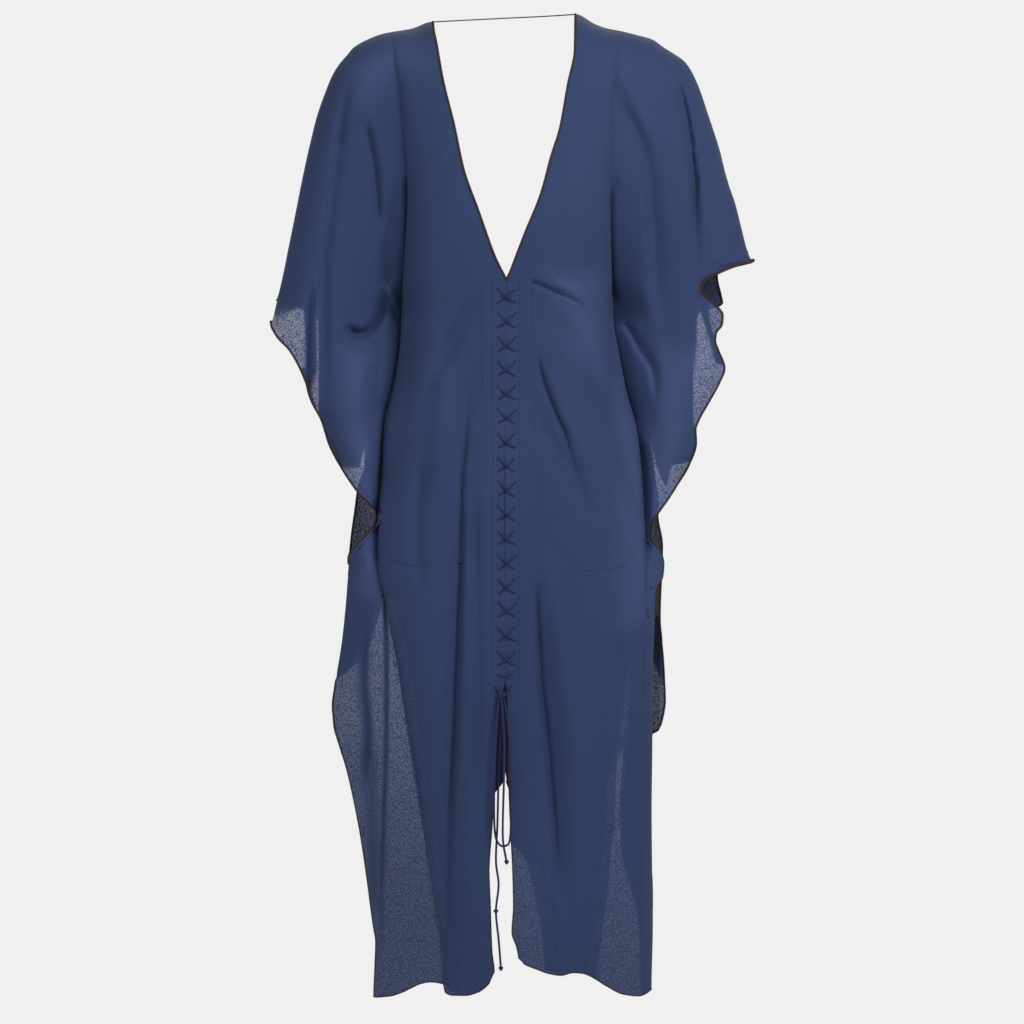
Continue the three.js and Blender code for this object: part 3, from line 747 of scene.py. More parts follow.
# --------------------------------------------------------------------------------- the cut cloth
@dataclass
class Sheet:
    """Half of the front or of the back: bodice, skirt and wide sleeve in one.

    Attributes:
        name: The piece's name.
        side: Which half it is.
        facing: Whether it is the front or the back.
        inner: Its edge nearest the middle: neck, laced opening, slit.
        outer: Its free outer edge, and how much of the cloth is turned back there.
        hem: Its lower edge.
        shoulder: The line along which front and back are sewn.
        side_line: Where the body ends and the hanging wing begins.
        reach: The smooth outer line that the wing's fullness follows.
        depth: How far it stands off the middle plane of the dress.
        gaps: How open each face of the single cloth is, by distance down.
        sheer: The patches where it hangs single; elsewhere other cloth backs it.
        pale: The patches where painted light makes the cloth's colour paler, standing in for light through
            it and light falling on it.
        folds: Its folds.
        seed: Picks its slight unevenness.
        flat: Its cut width and length in metres, and its area in square metres; not used.
        spans: How many columns the band, body, wing and turned margin have.
        rows: How many rows of points it has.
        ridge: The shoulder line as closely spaced (down, out) points.
    """

    name: str
    side: Side
    facing: Facing
    inner: Table
    outer: Table
    hem: Table
    shoulder: Table
    side_line: Table
    reach: Table
    depth: Table
    gaps: Table
    sheer: tuple
    pale: tuple
    folds: tuple
    seed: int
    flat: tuple
    spans: tuple = (6, 66, 56, 12)
    rows: int = 320
    ridge: np.ndarray = field(init=False)

    def __post_init__(self) -> None:
        """Work out the shoulder line and the grid of points."""
        self.ridge = self.shoulder.line("out", "down")
        parts = [np.linspace(0, 1, count) for count in self.spans]
        self.part = np.concatenate([np.full(len(t), k) for k, t in enumerate(parts)])
        self.t = np.concatenate(parts)
        keep = np.concatenate([[True], (np.diff(self.part) == 0) | (self.t[:-1] != 1)])
        self.part, self.t = self.part[keep], self.t[keep]
        top, bottom = self.column_tops(), self.column_bottoms()
        self.down = self.row_downs(top, bottom)
        self.out, self.back = self.place(self.part[:, None], self.t[:, None], self.down)
        depth, dense = self.depth_at(self.out, self.down)
        patch = np.full(self.down.shape, BACKED)
        for sheer in self.sheer:
            patch = np.maximum(patch, sheer.strength(self.down, self.out))
        self.openness = self.gaps.read("down", "open", self.down) * patch * (1 - dense)
        # Painted light: how much paler the cloth's colour is made, patch by patch.
        self.painted_light = np.zeros(self.down.shape)
        for pale in self.pale:
            self.painted_light = np.maximum(self.painted_light, pale.strength(self.down, self.out))
        self.points = self.to_points(self.out, self.down, np.maximum(depth - self.back, 0))
        self.normals = self.grid_normals()

    def place(self, part: np.ndarray, t: np.ndarray, down: np.ndarray) -> tuple:
        """Where a column lies at a distance down.

        Args:
            part: 0 on the band, 1 on the body, 2 on the wing, 3 on the turned margin.
            t: How far across that part the column is, from 0 to 1.
            down: Distances down.

        Returns:
            Its distance out, and how far behind the cloth's face it is turned.
        """
        inner = self.inner.read("down", "out", down)
        side = self.side_line.read("down", "out", down)
        edge = self.outer.read("down", "out", down)
        turn = self.outer.read("down", "turn", down)
        folded = np.clip(smoothstep(turn / TURNED_FROM), LEAST_ROLL, 1)
        length = MARGIN * (1 - folded) + (turn + math.pi * ROLL_RADIUS) * folded
        crest, _ = self.rolled(np.minimum(length, math.pi * ROLL_RADIUS / (2 * folded)), folded)
        across, back = self.rolled(length * t, folded)
        last_flat = edge - crest
        band_edge = inner + BAND_WIDTH
        start = np.minimum(side, last_flat - 5)
        choices = [
            inner + BAND_WIDTH * t,
            band_edge + (start - band_edge) * t,
            start + (last_flat - start) * t,
            last_flat + across,
        ]
        out = np.select([part == k for k in range(4)], choices)
        return out, np.where(part == 3, back, 0)

    @staticmethod
    def rolled(length: np.ndarray, folded: np.ndarray) -> tuple:
        """How far out and back a margin has gone after a length of it, as it rolls back."""
        arc = np.minimum(length, math.pi * ROLL_RADIUS)
        rest = length - arc
        angle = folded * arc / ROLL_RADIUS
        across = ROLL_RADIUS / folded * np.sin(angle) + rest * np.cos(angle)
        back = ROLL_RADIUS / folded * (1 - np.cos(angle)) + rest * np.sin(angle)
        return across, back

    def row_downs(self, top: np.ndarray, bottom: np.ndarray) -> np.ndarray:
        """Distances down of each column's points, closest where the free edge turns most."""
        at = np.linspace(*DOWNS)
        below = smoothstep((at - CUFFS[0]) / CUFF_FADES[0])
        above = smoothstep((CUFFS[1] - at) / CUFF_FADES[1])
        weight = 1 + CUFF_EXTRA * below * above
        passed = np.cumsum(weight)
        first, last = np.interp(top, at, passed), np.interp(bottom, at, passed)
        share = np.linspace(0, 1, self.rows)
        return np.interp(first[:, None] + (last - first)[:, None] * share, passed, at)

    def column_tops(self) -> np.ndarray:
        """How far down each column meets the shoulder line."""
        outs = self.shoulder.column["out"]
        low, high = np.full(len(self.t), outs[0]), np.full(len(self.t), outs[-1])
        for _ in range(HALVINGS):
            middle = (low + high) / 2
            down = self.shoulder.read("out", "down", middle)
            inside = middle < self.place(self.part, self.t, down)[0]
            low, high = np.where(inside, middle, low), np.where(inside, high, middle)
        return self.shoulder.read("out", "down", low)

    def column_bottoms(self) -> np.ndarray:
        """How far down each column meets the hem."""
        deepest = np.full(len(self.t), self.hem.column["down"].max())
        return self.hem.read("out", "down", self.place(self.part, self.t, deepest)[0])

    def depth_at(self, out: np.ndarray, down: np.ndarray) -> tuple:
        """How far the cloth stands off the middle plane.

        Args:
            out: Distances out.
            down: Distances down.

        Returns:
            The depths, and how dense the cloth's folds are there, from 0 to 1.
        """
        side = self.side_line.read("down", "out", down)
        edge = np.maximum(self.reach.read("down", "out", down), side + LEAST_WING)
        names = ("centre", "valley", "wing", "edge")
        centre, valley, wing, rim = (self.depth.read("down", name, down) for name in names)
        share = np.clip(out / side, 0, 1)
        body = valley + (centre - valley) * (1 - share**BODY_POWER) ** BODY_ROOT
        t = np.clip((out - side) / (edge - side), 0, 1)
        control = 2 * wing - (valley + rim) / 2
        hanging = valley * (1 - t) ** 2 + 2 * control * t * (1 - t) + rim * t * t
        depth = np.where(out <= side, body, hanging)
        folds = rumple(down, out, self.seed)
        dense = np.zeros(out.shape)
        for fold in self.folds:
            strength = fold.strength(down, out)
            folds += fold.height * strength
            dense = np.maximum(dense, fold.dense * strength)
        folds *= smoothstep(depth / FOLDED_FROM)
        distance, _, _ = nearest_on(self.ridge, down, out)
        to_shoulder = np.clip((distance - SEWN_IN) / SHOULDER_RADIUS, 0, 1)
        return (depth + folds) * np.sqrt(1 - (1 - to_shoulder) ** 2), dense

    def to_points(self, out: np.ndarray, down: np.ndarray, depth: np.ndarray) -> np.ndarray:
        """Points of the dress from distances out, down and off the middle plane."""
        y = self.facing.value * (SEAM_GAP / 2 + depth)
        return np.stack([self.side.value * out, y, -down], axis=-1)

    def grid_normals(self) -> np.ndarray:
        """The outward normal at each point of the grid."""
        across = np.gradient(self.points, axis=0)
        along = np.gradient(self.points, axis=1)
        normal = np.cross(across, along) * self.facing.value * self.side.value
        return normal / np.linalg.norm(normal, axis=-1, keepdims=True)

    def on_cloth(self, out: np.ndarray, down: np.ndarray, lift: float | np.ndarray = 0.0) -> np.ndarray:
        """Points at these distances out and down, moved off the wall's middle by a lift."""
        out, down = np.broadcast_arrays(np.asarray(out, float), np.asarray(down, float))
        here, across, along = (
            self.to_points(o, d, self.depth_at(o, d)[0])
            for o, d in ((out, down), (out + 1, down), (out, down + 1))
        )
        normal = np.cross(across - here, along - here) * self.facing.value * self.side.value
        normal /= np.linalg.norm(normal, axis=-1, keepdims=True)
        return here + normal * (WALL_MIDDLE + np.asarray(lift)[..., None])

    def wall(self, name: str, points: np.ndarray, **looks: np.ndarray) -> bpy.types.Object:
        """A thin closed cloth wall on a grid of points.

        Args:
            name: The piece's name.
            points: The wall's middle, columns by rows by 3.
            looks: For each attribute of the cloth, its value at each point, from 0 to 1.

        Returns:
            The piece.
        """
        across = np.linalg.norm(np.diff(points, axis=0, prepend=points[:1]), axis=-1)
        along = np.linalg.norm(np.diff(points, axis=1, prepend=points[:, :1]), axis=-1)
        uv = np.stack([np.cumsum(across, axis=0), np.cumsum(along, axis=1)], axis=-1) * MM
        builder = Builder()
        builder.grid(points, uv, flip=self.side.value * self.facing.value < 0)
        made = builder.piece(name)
        for attribute, values in looks.items():
            kept = made.data.attributes.new(attribute, "FLOAT", "POINT")
            kept.data.foreach_set("value", np.broadcast_to(values, points.shape[:2]).ravel())
        finish_with(made, "SOLIDIFY", thickness=CLOTH * MM, offset=0.0, use_rim=True)
        bpy.ops.object.shade_smooth_by_angle(angle=math.radians(50))
        return made

    def build(self, material: bpy.types.Material) -> bpy.types.Object:
        """Make the sheet."""
        points = self.points + self.normals * WALL_MIDDLE
        made = self.wall(self.name + "_cloth", points, gaps=self.openness, pale=self.painted_light)
        dress(made, material, "crepe", self.name)
        across, along = np.diff(self.points, axis=0)[:, :-1], np.diff(self.points, axis=1)[:-1]
        area = np.linalg.norm(np.cross(across, along), axis=-1).sum() * MM * MM
        LOG.info("%s has %.3f square metres of cloth", self.name, area)
        return made


FRONT_LEFT_INNER = Table(
    "down out", (3, 96.5), (42, 90), (84, 82.5), (143, 68), (203, 55), (256, 36), (317, 14),
    (334, 5.8), (343, 1.2), (347, 0), (872, 0), (890, 4.6), (930, 10), (1003, 15), (1064, 18), (1125, 22),
    (1164, 20.5), (1230, 18), (1257, 15),
)
FRONT_RIGHT_INNER = Table(
    "down out", (-7, 93), (42, 92), (90, 82.5), (148, 72), (183, 61), (234, 47), (286, 26), (325, 11),
    (334, 7.6), (343, 3.2), (348, 0), (872, 0), (890, 2), (997, 4.6), (1043, 6), (1085, 8), (1125, 10),
    (1170, 11), (1206, 9), (1224, 15), (1241, 18),
)
BACK_LEFT_INNER = Table(
    "down out", (3, 96.5), (42, 90.5), (84, 83), (143, 69), (203, 56), (256, 37), (317, 15.5),
    (340, 3), (352, 0), (1003, 0), (1030, 17), (1064, 24), (1125, 28), (1279, 26),
)
BACK_RIGHT_INNER = Table(
    "down out", (-7, 93), (42, 92.5), (90, 83.5), (148, 73), (183, 62), (234, 48), (286, 27),
    (325, 12.5), (341, 3), (352, 0), (1003, 0), (1030, 8), (1098, 19), (1125, 32), (1264, 53),
)
LEFT_SHOULDER = Table(
    "out down", (96.5, 3.5), (123.5, 12.5), (160, 19), (180, 26), (200.5, 37.5), (209.5, 48),
    (219.5, 59.5), (229, 75), (238, 97), (248, 125), (257.5, 162), (268.5, 212), (279, 265),
    (290, 318), (302, 371), (310, 400),
)
RIGHT_SHOULDER = Table(
    "out down", (93, -6.5), (117, 6), (133, 12), (153, 16), (173, 21), (194, 27), (208.5, 37),
    (223.5, 46.5), (236, 55.5), (244, 66), (255, 89), (267, 124), (284, 177), (292.5, 212), (302, 239),
    (327, 319),
)
LEFT_SIDE = Table(
    "down out", (0, 150), (120, 136), (220, 129), (379, 137), (425, 139), (478, 147), (531, 160),
    (597, 164), (663, 168), (715, 168), (768, 159), (847, 141), (900, 133), (1019, 113), (1140, 98),
    (1276, 82),
)
RIGHT_SIDE = Table(
    "down out", (0, 150), (120, 141), (220, 138), (399, 143), (441, 150), (491, 160), (544, 174),
    (597, 180), (689, 184), (742, 184), (821, 182), (900, 179), (1094, 178), (1283, 180),
)
FRONT_LEFT_OUTER = Table(
    "down out turn", (401, 310, 0), (420, 301, 0), (437, 285, 0), (458, 272.5, 0), (479, 264, 0),
    (504, 256, 0), (532, 241.5, 0), (561, 233, 0), (589, 218.5, 0), (624, 195, 0), (652, 172, 0),
    (660, 171, 0), (682, 183, 0), (701, 201, 0), (711, 206.5, 0), (723, 207, 6), (745, 208.5, 36),
    (768, 210, 41), (807, 214, 35), (834, 217.5, 30), (846, 219, 24), (860, 221.5, 9), (887, 225, 3),
    (907, 227.5, 0), (933, 226, 0), (960, 218.5, 0), (986, 210.5, 0), (1019, 202.5, 0), (1072, 192, 0),
    (1125, 184, 0), (1197, 174, 0), (1220, 170.5, 0), (1250, 171.5, 0), (1292, 173, 0),
)
FRONT_RIGHT_OUTER = Table(
    "down out turn", (319, 327, 0), (327, 301, 0), (337, 278, 0), (347, 261, 0), (359, 257, 0),
    (380, 278, 0), (392, 286, 0), (404, 285, 0), (416, 277, 0), (426, 276, 0), (438, 280, 0),
    (462, 288.5, 0), (480, 282, 0), (504, 269, 0), (531, 254, 0), (543, 250, 0), (562, 251, 0),
    (589, 242, 0), (616, 226, 0), (636, 213, 0), (651, 202, 0), (667, 193.5, 0), (686, 192, 0),
    (702, 203, 0), (721, 208, 0), (737, 206.5, 0), (755, 198, 0), (821, 195, 14), (847, 194, 24),
    (904, 194, 29), (971, 193.5, 33), (1042, 192.5, 37), (1101, 193, 34), (1161, 194, 20),
    (1185, 194, 14), (1283, 192, 9),
)
BACK_LEFT_OUTER = Table(
    "down out turn", (366, 305, 0), (374, 297, 0), (381, 252, 0), (392, 247, 0), (520, 246, 0),
    (538, 222, 0), (554, 187, 0), (592, 185, 0), (606, 190, 0), (623, 195, 0), (645, 198, 0),
    (690, 204, 0), (715, 206, 0), (738, 190, 0), (757, 167, 8), (775, 160, 24), (845, 146, 34),
    (900, 137, 40), (1018, 119, 46), (1140, 98.5, 46), (1276, 82, 44),
)
BACK_RIGHT_OUTER = Table(
    "down out turn", (306, 322, 0), (318, 290, 0), (339, 280, 0), (364, 285, 0), (375, 287, 0),
    (386, 256, 0), (398, 250, 0), (440, 246, 0), (524, 246, 0), (540, 200, 0), (549, 190, 0),
    (577, 194, 0), (610, 198, 0), (643, 202, 0), (656, 201, 0), (696, 207, 0), (795, 204, 0),
    (822, 206.5, 0), (848, 209, 0), (875, 210.5, 0), (902, 211.5, 0), (928, 207.5, 0), (940, 203, 0),
    (950, 189, 0), (960, 163, 8), (972, 152, 16), (986, 148, 22), (1018, 146, 30), (1062, 146, 36),
    (1094, 141, 38), (1154, 136, 40), (1213, 128, 42), (1263, 123, 44),
)
FRONT_LEFT_HEM = Table(
    "out down", (15, 1257), (21.5, 1271.5), (37, 1283.5), (53, 1287.5), (69, 1287.5), (78.5, 1284),
    (81, 1273), (99, 1270.5), (112, 1273), (125.5, 1279.5), (139, 1286), (152, 1290), (173, 1292),
)
FRONT_RIGHT_HEM = Table(
    "out down", (18, 1239), (25.5, 1246.5), (41.5, 1253), (57, 1258.5), (73, 1261), (89, 1257.5),
    (102, 1258.5), (112.5, 1262.5), (133.5, 1275.5), (155, 1286), (175.5, 1288.5), (186, 1285),
    (192, 1281),
)
BACK_LEFT_HEM = Table("out down", (26, 1279), (54, 1290), (72, 1290), (82, 1277))
BACK_RIGHT_HEM = Table("out down", (53, 1262), (73, 1265), (90, 1262), (112, 1267), (123, 1273))
FRONT_DEPTH = Table(
    "down centre valley wing edge", (0, 96, 74, 60, 52), (100, 114, 78, 58, 50), (200, 127, 70, 56, 48),
    (270, 126, 52, 54, 46), (340, 116, 24, 52, 40), (396, 105, 0, 52, 30), (505, 98, 0, 52, 34),
    (560, 103, 20, 54, 34), (660, 112, 46, 50, 22), (760, 114, 68, 58, 26), (900, 111, 78, 62, 30),
    (1100, 108, 84, 66, 34), (1300, 108, 88, 70, 40),
)
BACK_DEPTH = Table(
    "down centre valley wing edge", (0, 78, 66, 54, 46), (100, 98, 74, 54, 46), (200, 104, 66, 52, 44),
    (270, 98, 48, 50, 42), (340, 91, 22, 48, 36), (396, 88, 0, 48, 28), (505, 96, 0, 48, 30),
    (560, 108, 20, 50, 30), (660, 121, 52, 46, 22), (760, 121, 78, 60, 36), (900, 116, 92, 70, 52),
    (1100, 110, 94, 76, 60), (1300, 108, 94, 80, 66),
)
LEFT_REACH = Table(
    "down out", (0, 300), (400, 309), (504, 262), (600, 215), (700, 212), (900, 228), (1019, 205),
    (1300, 178),
)
RIGHT_REACH = Table(
    "down out", (0, 310), (319, 325), (460, 292), (560, 252), (660, 214), (760, 208), (900, 205),
    (1300, 200),
)
FRONT_GAPS = Table(
    "down open", (0, 0.345), (440, 0.335), (520, 0.31), (640, 0.26), (760, 0.21), (900, 0.205),
    (970, 0.185), (1100, 0.15), (1200, 0.135), (1300, 0.135),
)
BACK_GAPS = Table("down open", (0, 0.2), (960, 0.2), (1000, 0.12), (1300, 0.11))
FRONT_LEFT_SHEER = (
    Sheer(((391, 312), (390, 297), (380, 266), (413, 264), (460, 263), (465, 275), (407, 320))),
    Sheer(((380, 250), (380, 245), (478, 244), (517, 243), (522, 249), (485, 258), (468, 249)), 5),
    Sheer((
        (552, 184), (553, 179), (592, 186), (609, 190), (626, 195), (619, 204), (594, 219), (592, 193),
    ), 3),
    Sheer((
        (750, 167), (774, 171), (820, 180), (834, 191), (862, 213), (880, 250), (926, 250), (1310, 200),
        (1310, 73), (1267, 60), (1161, 75), (1015, 100), (881, 120), (822, 130), (768, 145), (745, 162),
    ), 5),
)
FRONT_RIGHT_SHEER = (
    Sheer((
        (373, 255), (394, 260), (419, 268), (455, 277), (460, 300), (486, 290), (542, 260), (536, 247),
        (472, 247), (432, 252), (400, 252),
    ), share=0.9),
    Sheer(((375, 266), (377, 277), (389, 296), (407, 296), (422, 277), (413, 272), (397, 269)), share=0.8),
    Sheer((
        (544, 185), (543, 189), (586, 199), (610, 207), (618, 212), (590, 218), (584, 248),
        (613, 240), (636, 222), (655, 199), (643, 197), (610, 193), (577, 186), (549, 182),
    ), 3),
    Sheer((
        (833, 166), (904, 165), (972, 161), (1043, 155), (1102, 159), (1161, 174), (1185, 180),
        (1310, 183), (1310, 100), (1241, 105), (1208, 110), (1149, 120), (1090, 125), (1058, 130),
        (1015, 130), (983, 140), (940, 150), (873, 158),
    ), 5),
    Sheer(((1080, -5), (1120, 60), (1290, 70), (1290, -5)), 8),
)
# Patches of painted light: the cloth's colour made paler on shoulders, body, wings and the backs' wings,
# for light through it and light falling on it.
FRONT_LEFT_PAINTED_LIGHT = (
    Sheer(((290, 70), (290, 120), (540, 125), (540, 60)), 60, 0.1),
    Sheer(((20, 120), (60, 215), (110, 190), (60, 120)), 60, 0.45),
    Sheer(((440, 172), (440, 215), (600, 205), (700, 190), (760, 195), (760, 175), (600, 172)), 50, 0.6),
    Sheer(((395, 128), (400, 160), (520, 185), (600, 185), (600, 158), (520, 136)), 24, 0.5),
)
FRONT_RIGHT_PAINTED_LIGHT = (
    Sheer(((20, 120), (60, 210), (140, 200), (240, 120), (240, 60), (120, 90)), 60, 0.05),
    Sheer(((395, 138), (400, 185), (520, 215), (640, 200), (640, 170), (520, 146)), 24, 0.6),
    Sheer(((340, 60), (340, 130), (480, 130), (440, 90)), 50, 0.45),
    Sheer(((440, 205), (440, 260), (560, 230), (800, 185), (800, 150), (640, 150), (560, 180)), 50, 0.4),
)
BACK_LEFT_PAINTED_LIGHT = (Sheer(((600, 150), (600, 250), (780, 250), (780, 150)), 90, 0.6),)
BACK_RIGHT_PAINTED_LIGHT = (
    Sheer(((300, 240), (300, 330), (480, 330), (480, 240)), 90, 0.4),
    Sheer(((660, 175), (660, 230), (820, 230), (820, 175)), 90, 0.5),
)
BACK_LEFT_SHEER = (
    Sheer(((360, 330), (380, 200), (620, 165), (770, 165), (770, 250), (640, 250)), share=0.85),
)
BACK_RIGHT_SHEER = (
    Sheer(((330, 330), (330, 255), (480, 255), (480, 330)), share=0.5),
    Sheer(((650, 230), (650, 183), (790, 183), (790, 230)), share=0.8),
    Sheer(((837, 186), (839, 190), (875, 208), (888, 235), (990, 225), (990, 150), (900, 150))),
)
FRONT_LEFT_FOLDS = (
    Fold(-12, 12, ((350, 36), (385, 48), (418, 68), (455, 84), (520, 112)), lean=-0.2, ends=(0.55, 0.4)),
    Fold(-7, 3.6, ((470, 50.5), (557, 52), (610, 57), (722, 58.5), (912, 65), (1004, 69), (1274, 82))),
    Fold(-9, 10, ((600, 60), (722, 62), (912, 69), (1004, 73), (1274, 86)), lean=0.3),
    Fold(8, 18, ((700, 40), (900, 44), (1286, 54))),
    Fold(-7, 8, ((600, 40), (722, 40), (912, 36), (1040, 36))),
    Fold(6, 12, ((450, 78), (520, 84), (640, 88))),
    Fold(-6, 9, ((570, 108), (660, 116), (760, 112))),
    Fold(-8, 7, ((115, 212), (200, 225), (330, 240), (400, 240), (523, 238)), lean=-0.3, dense=0.6),
    Fold(-8, 5, ((345, 257), (372, 257), (400, 260), (472, 260), (500, 255)), dense=0.6),
    Fold(-10, 6, ((135, 182), (155, 179), (198, 171), (247, 167), (286, 164)), lean=0.3),
    Fold(-6, 6, ((80, 207), (113, 212), (139, 216), (180, 223))),
    Fold(6, 14, ((440, 190), (480, 193), (540, 196))),
    Fold(-9, 6, ((505, 158.5), (597, 163), (652, 168), (689, 169), (750, 165)), lean=0.3),
    Fold(-5, 3.4, ((740, 160), (820, 157.5), (952, 157.5), (1040, 160), (1270, 167)), dense=0.9,
         ends=(0.1, 0.2)),
    Fold(-7, 7, ((806, 184), (846, 186), (886, 186), (952, 181), (1060, 190)), lean=0.2, dense=0.85),
    Fold(-7, 10, ((940, 176), (1040, 178), (1217, 172)), dense=0.35),
    Fold(-16, 6.5, ((401, 214), (412, 203), (415, 189), (407, 176), (388, 166), (350, 158)), lean=0.2),
    Fold(-8, 10, ((210, 142), (260, 150), (335, 156), (352, 152)), ends=(0.4, 0.2)),
    Fold(-6, 4, ((212, 132), (226, 129), (300, 127), (381, 127)), ends=(0.1, 0.3)),
    Fold(7, 4, ((352, 157), (372, 148), (396, 136)), ends=(0.3, 0.2)),
    Fold(-9, 4, ((374, 152), (392, 144), (402, 140)), ends=(0.3, 0.3)),
)
FRONT_RIGHT_FOLDS = (
    Fold(-6, 3.4, ((350, 30.6), (352, 41.5), (359, 57), (372, 86), (389, 112)), lean=0.2,
         ends=(0.15, 0.5)),
    Fold(5, 8, ((350, 62), (360, 84), (388, 124)), ends=(0.3, 0.4)),
    Fold(-8, 12, ((385, 59), (445, 98), (511, 138)), lean=0.3),
    Fold(-7, 3.4, ((440, 41), (481, 52), (507, 62), (532, 72), (551, 80.5), (584, 88), (636, 111)),
         lean=-0.3, ends=(0.12, 0.4)),
    Fold(5, 8, ((450, 54), (507, 73), (551, 92), (620, 116))),
    Fold(-7, 13, ((524, 39), (581, 72), (676, 125))),
    Fold(-7, 4, ((740, 40), (768, 41.5), (873, 47), (926, 53), (1031, 62.5), (1200, 74))),
    Fold(-8, 12, ((768, 46), (874, 51), (1032, 67), (1200, 78))),
    Fold(6, 14, ((696, 57), (768, 64), (888, 83), (1100, 112))),
    Fold(-6, 10, ((640, 140), (760, 146), (900, 150))),
    Fold(5, 9, ((57, 144), (110, 168), (154, 186), (200, 197)), ends=(0.2, 0.5)),
    Fold(5, 6, ((54, 218), (93, 223), (119, 233)), ends=(0.2, 0.4)),
    Fold(-9, 10, ((82, 131), (148, 171), (187, 184), (240, 191), (412, 204)), lean=0.3),
    Fold(-13, 6, ((62, 218), (101, 233.5), (143, 243), (181, 247.5), (226, 252), (351, 253)), lean=-0.4),
    Fold(-5, 5, ((216, 152), (226, 139), (300, 138), (362, 141), (381, 143)), ends=(0.1, 0.3)),
    Fold(6, 14, ((330, 178), (420, 196), (560, 208))),
    Fold(-9, 6, ((340, 140), (372, 142), (395, 141)), ends=(0.4, 0.3)),
    Fold(-7, 6, ((400, 152), (410, 163), (434, 177), (453, 189), (471, 196), (520, 199)), lean=0.2),
    Fold(-10, 7, ((545, 175), (597, 181), (650, 183), (742, 186)), lean=0.2),
)
BACK_LEFT_FOLDS = (
    Fold(-6, 14, ((380, 120), (440, 80), (540, 60))),
    Fold(-9, 13, ((700, 62), (900, 58), (1150, 60), (1270, 62))),
    Fold(-9, 13, ((120, 196), (240, 214), (420, 226))),
    Fold(7, 16, ((720, 112), (860, 104), (1000, 92))),
    Fold(-6, 10, ((150, 60), (260, 72), (372, 96))),
)
BACK_RIGHT_FOLDS = (
    Fold(-6, 14, ((390, 126), (450, 84), (560, 70))),
    Fold(-9, 13, ((690, 74), (880, 84), (1140, 92), (1260, 88))),
    Fold(-9, 13, ((110, 190), (220, 216), (400, 224))),
    Fold(7, 16, ((700, 124), (860, 120), (1000, 118))),
    Fold(-6, 10, ((160, 64), (270, 80), (368, 104))),
)


# --------------------------------------------------------------------------- bands and pockets
def lay_on(sheet: Sheet, kind: str, points: np.ndarray, material: bpy.types.Material) -> None:
    """Make a small piece of doubled cloth on a front.

    Args:
        sheet: The front.
        kind: What the piece is.
        points: The points of its wall, columns by rows by 3.
        material: Its material.
    """
    node = f"{kind}_{sheet.side.name.lower()}"
    made = sheet.wall(node + "_cloth", points, **DOUBLED)
    dress(made, material, "crepe", node)


@dataclass
class Band:
    """The narrow doubled strip along a laced edge, lying on its front.

    Attributes:
        sheet: The front that it lies on.
        crown: How much its middle stands above its edges.
        flat: Its cut width and length, in metres; not used.
        columns: How many columns of points it has.
        rows: How many rows of points it has.
    """

    sheet: Sheet
    crown: float = 0.15
    flat: tuple = (0.0167, 0.5255)
    columns: int = 8
    rows: int = 150

    def build(self, material: bpy.types.Material) -> None:
        """Make the band on the front's own points, moved out."""
        down = np.linspace(BAND_TOP, BAND_BOTTOM, self.rows)
        inner = self.sheet.inner.read("down", "out", down)
        across = np.linspace(0, 1, self.columns)[:, None]
        raised = BAND_LIFT + self.crown * np.sin(math.pi * across) ** 0.5
        points = self.sheet.on_cloth(inner + BAND_WIDTH * across, down, raised)
        lay_on(self.sheet, "band", points, material)


@dataclass
class Pocket:
    """A pocket bag inside a front, held by two rows of stitches.

    Attributes:
        sheet: The front that it hangs in.
        outline: The (down, out) line of its stitched edge, from the top to the lower outer end.
        lift: How far off the front's wall it hangs, inwards.
        inset: How far it stays from the stitches at its top and bottom.
        clear: How far it stays from the side of the dress.
        flat: Its cut width and length, in metres; not used.
        columns: How many columns of points it has.
        rows: How many rows of points it has.
    """

    sheet: Sheet
    outline: tuple
    lift: float = -1.5
    inset: float = 4.0
    clear: float = 7.0
    flat: tuple = (0.125, 0.215)
    columns: int = 26
    rows: int = 44

    def build(self, material: bpy.types.Material) -> None:
        """Make the bag between its stitched edge and the side of the dress."""
        line = through(self.outline, 10)
        first = int(np.argmax(line[:, 0]))
        down = np.linspace(self.outline[0][0] + self.inset, line[first, 0] - self.inset, self.rows)
        inner = np.interp(down, line[:first + 1, 0], line[:first + 1, 1])
        side = self.sheet.side_line.read("down", "out", down) - self.clear
        across = np.linspace(0, 1, self.columns)[:, None]
        points = self.sheet.on_cloth(inner + (side - inner) * across, down, self.lift)
        lay_on(self.sheet, "pocket", points, material)


# ------------------------------------------------------------------------------ edging and thread
# How far down the edged neck ends, and where the edged slit starts.
NECK_ENDS = {Facing.FRONT: 348.5, Facing.BACK: 352.0}
SLIT_STARTS = {Facing.FRONT: 965.0, Facing.BACK: 1003.0}


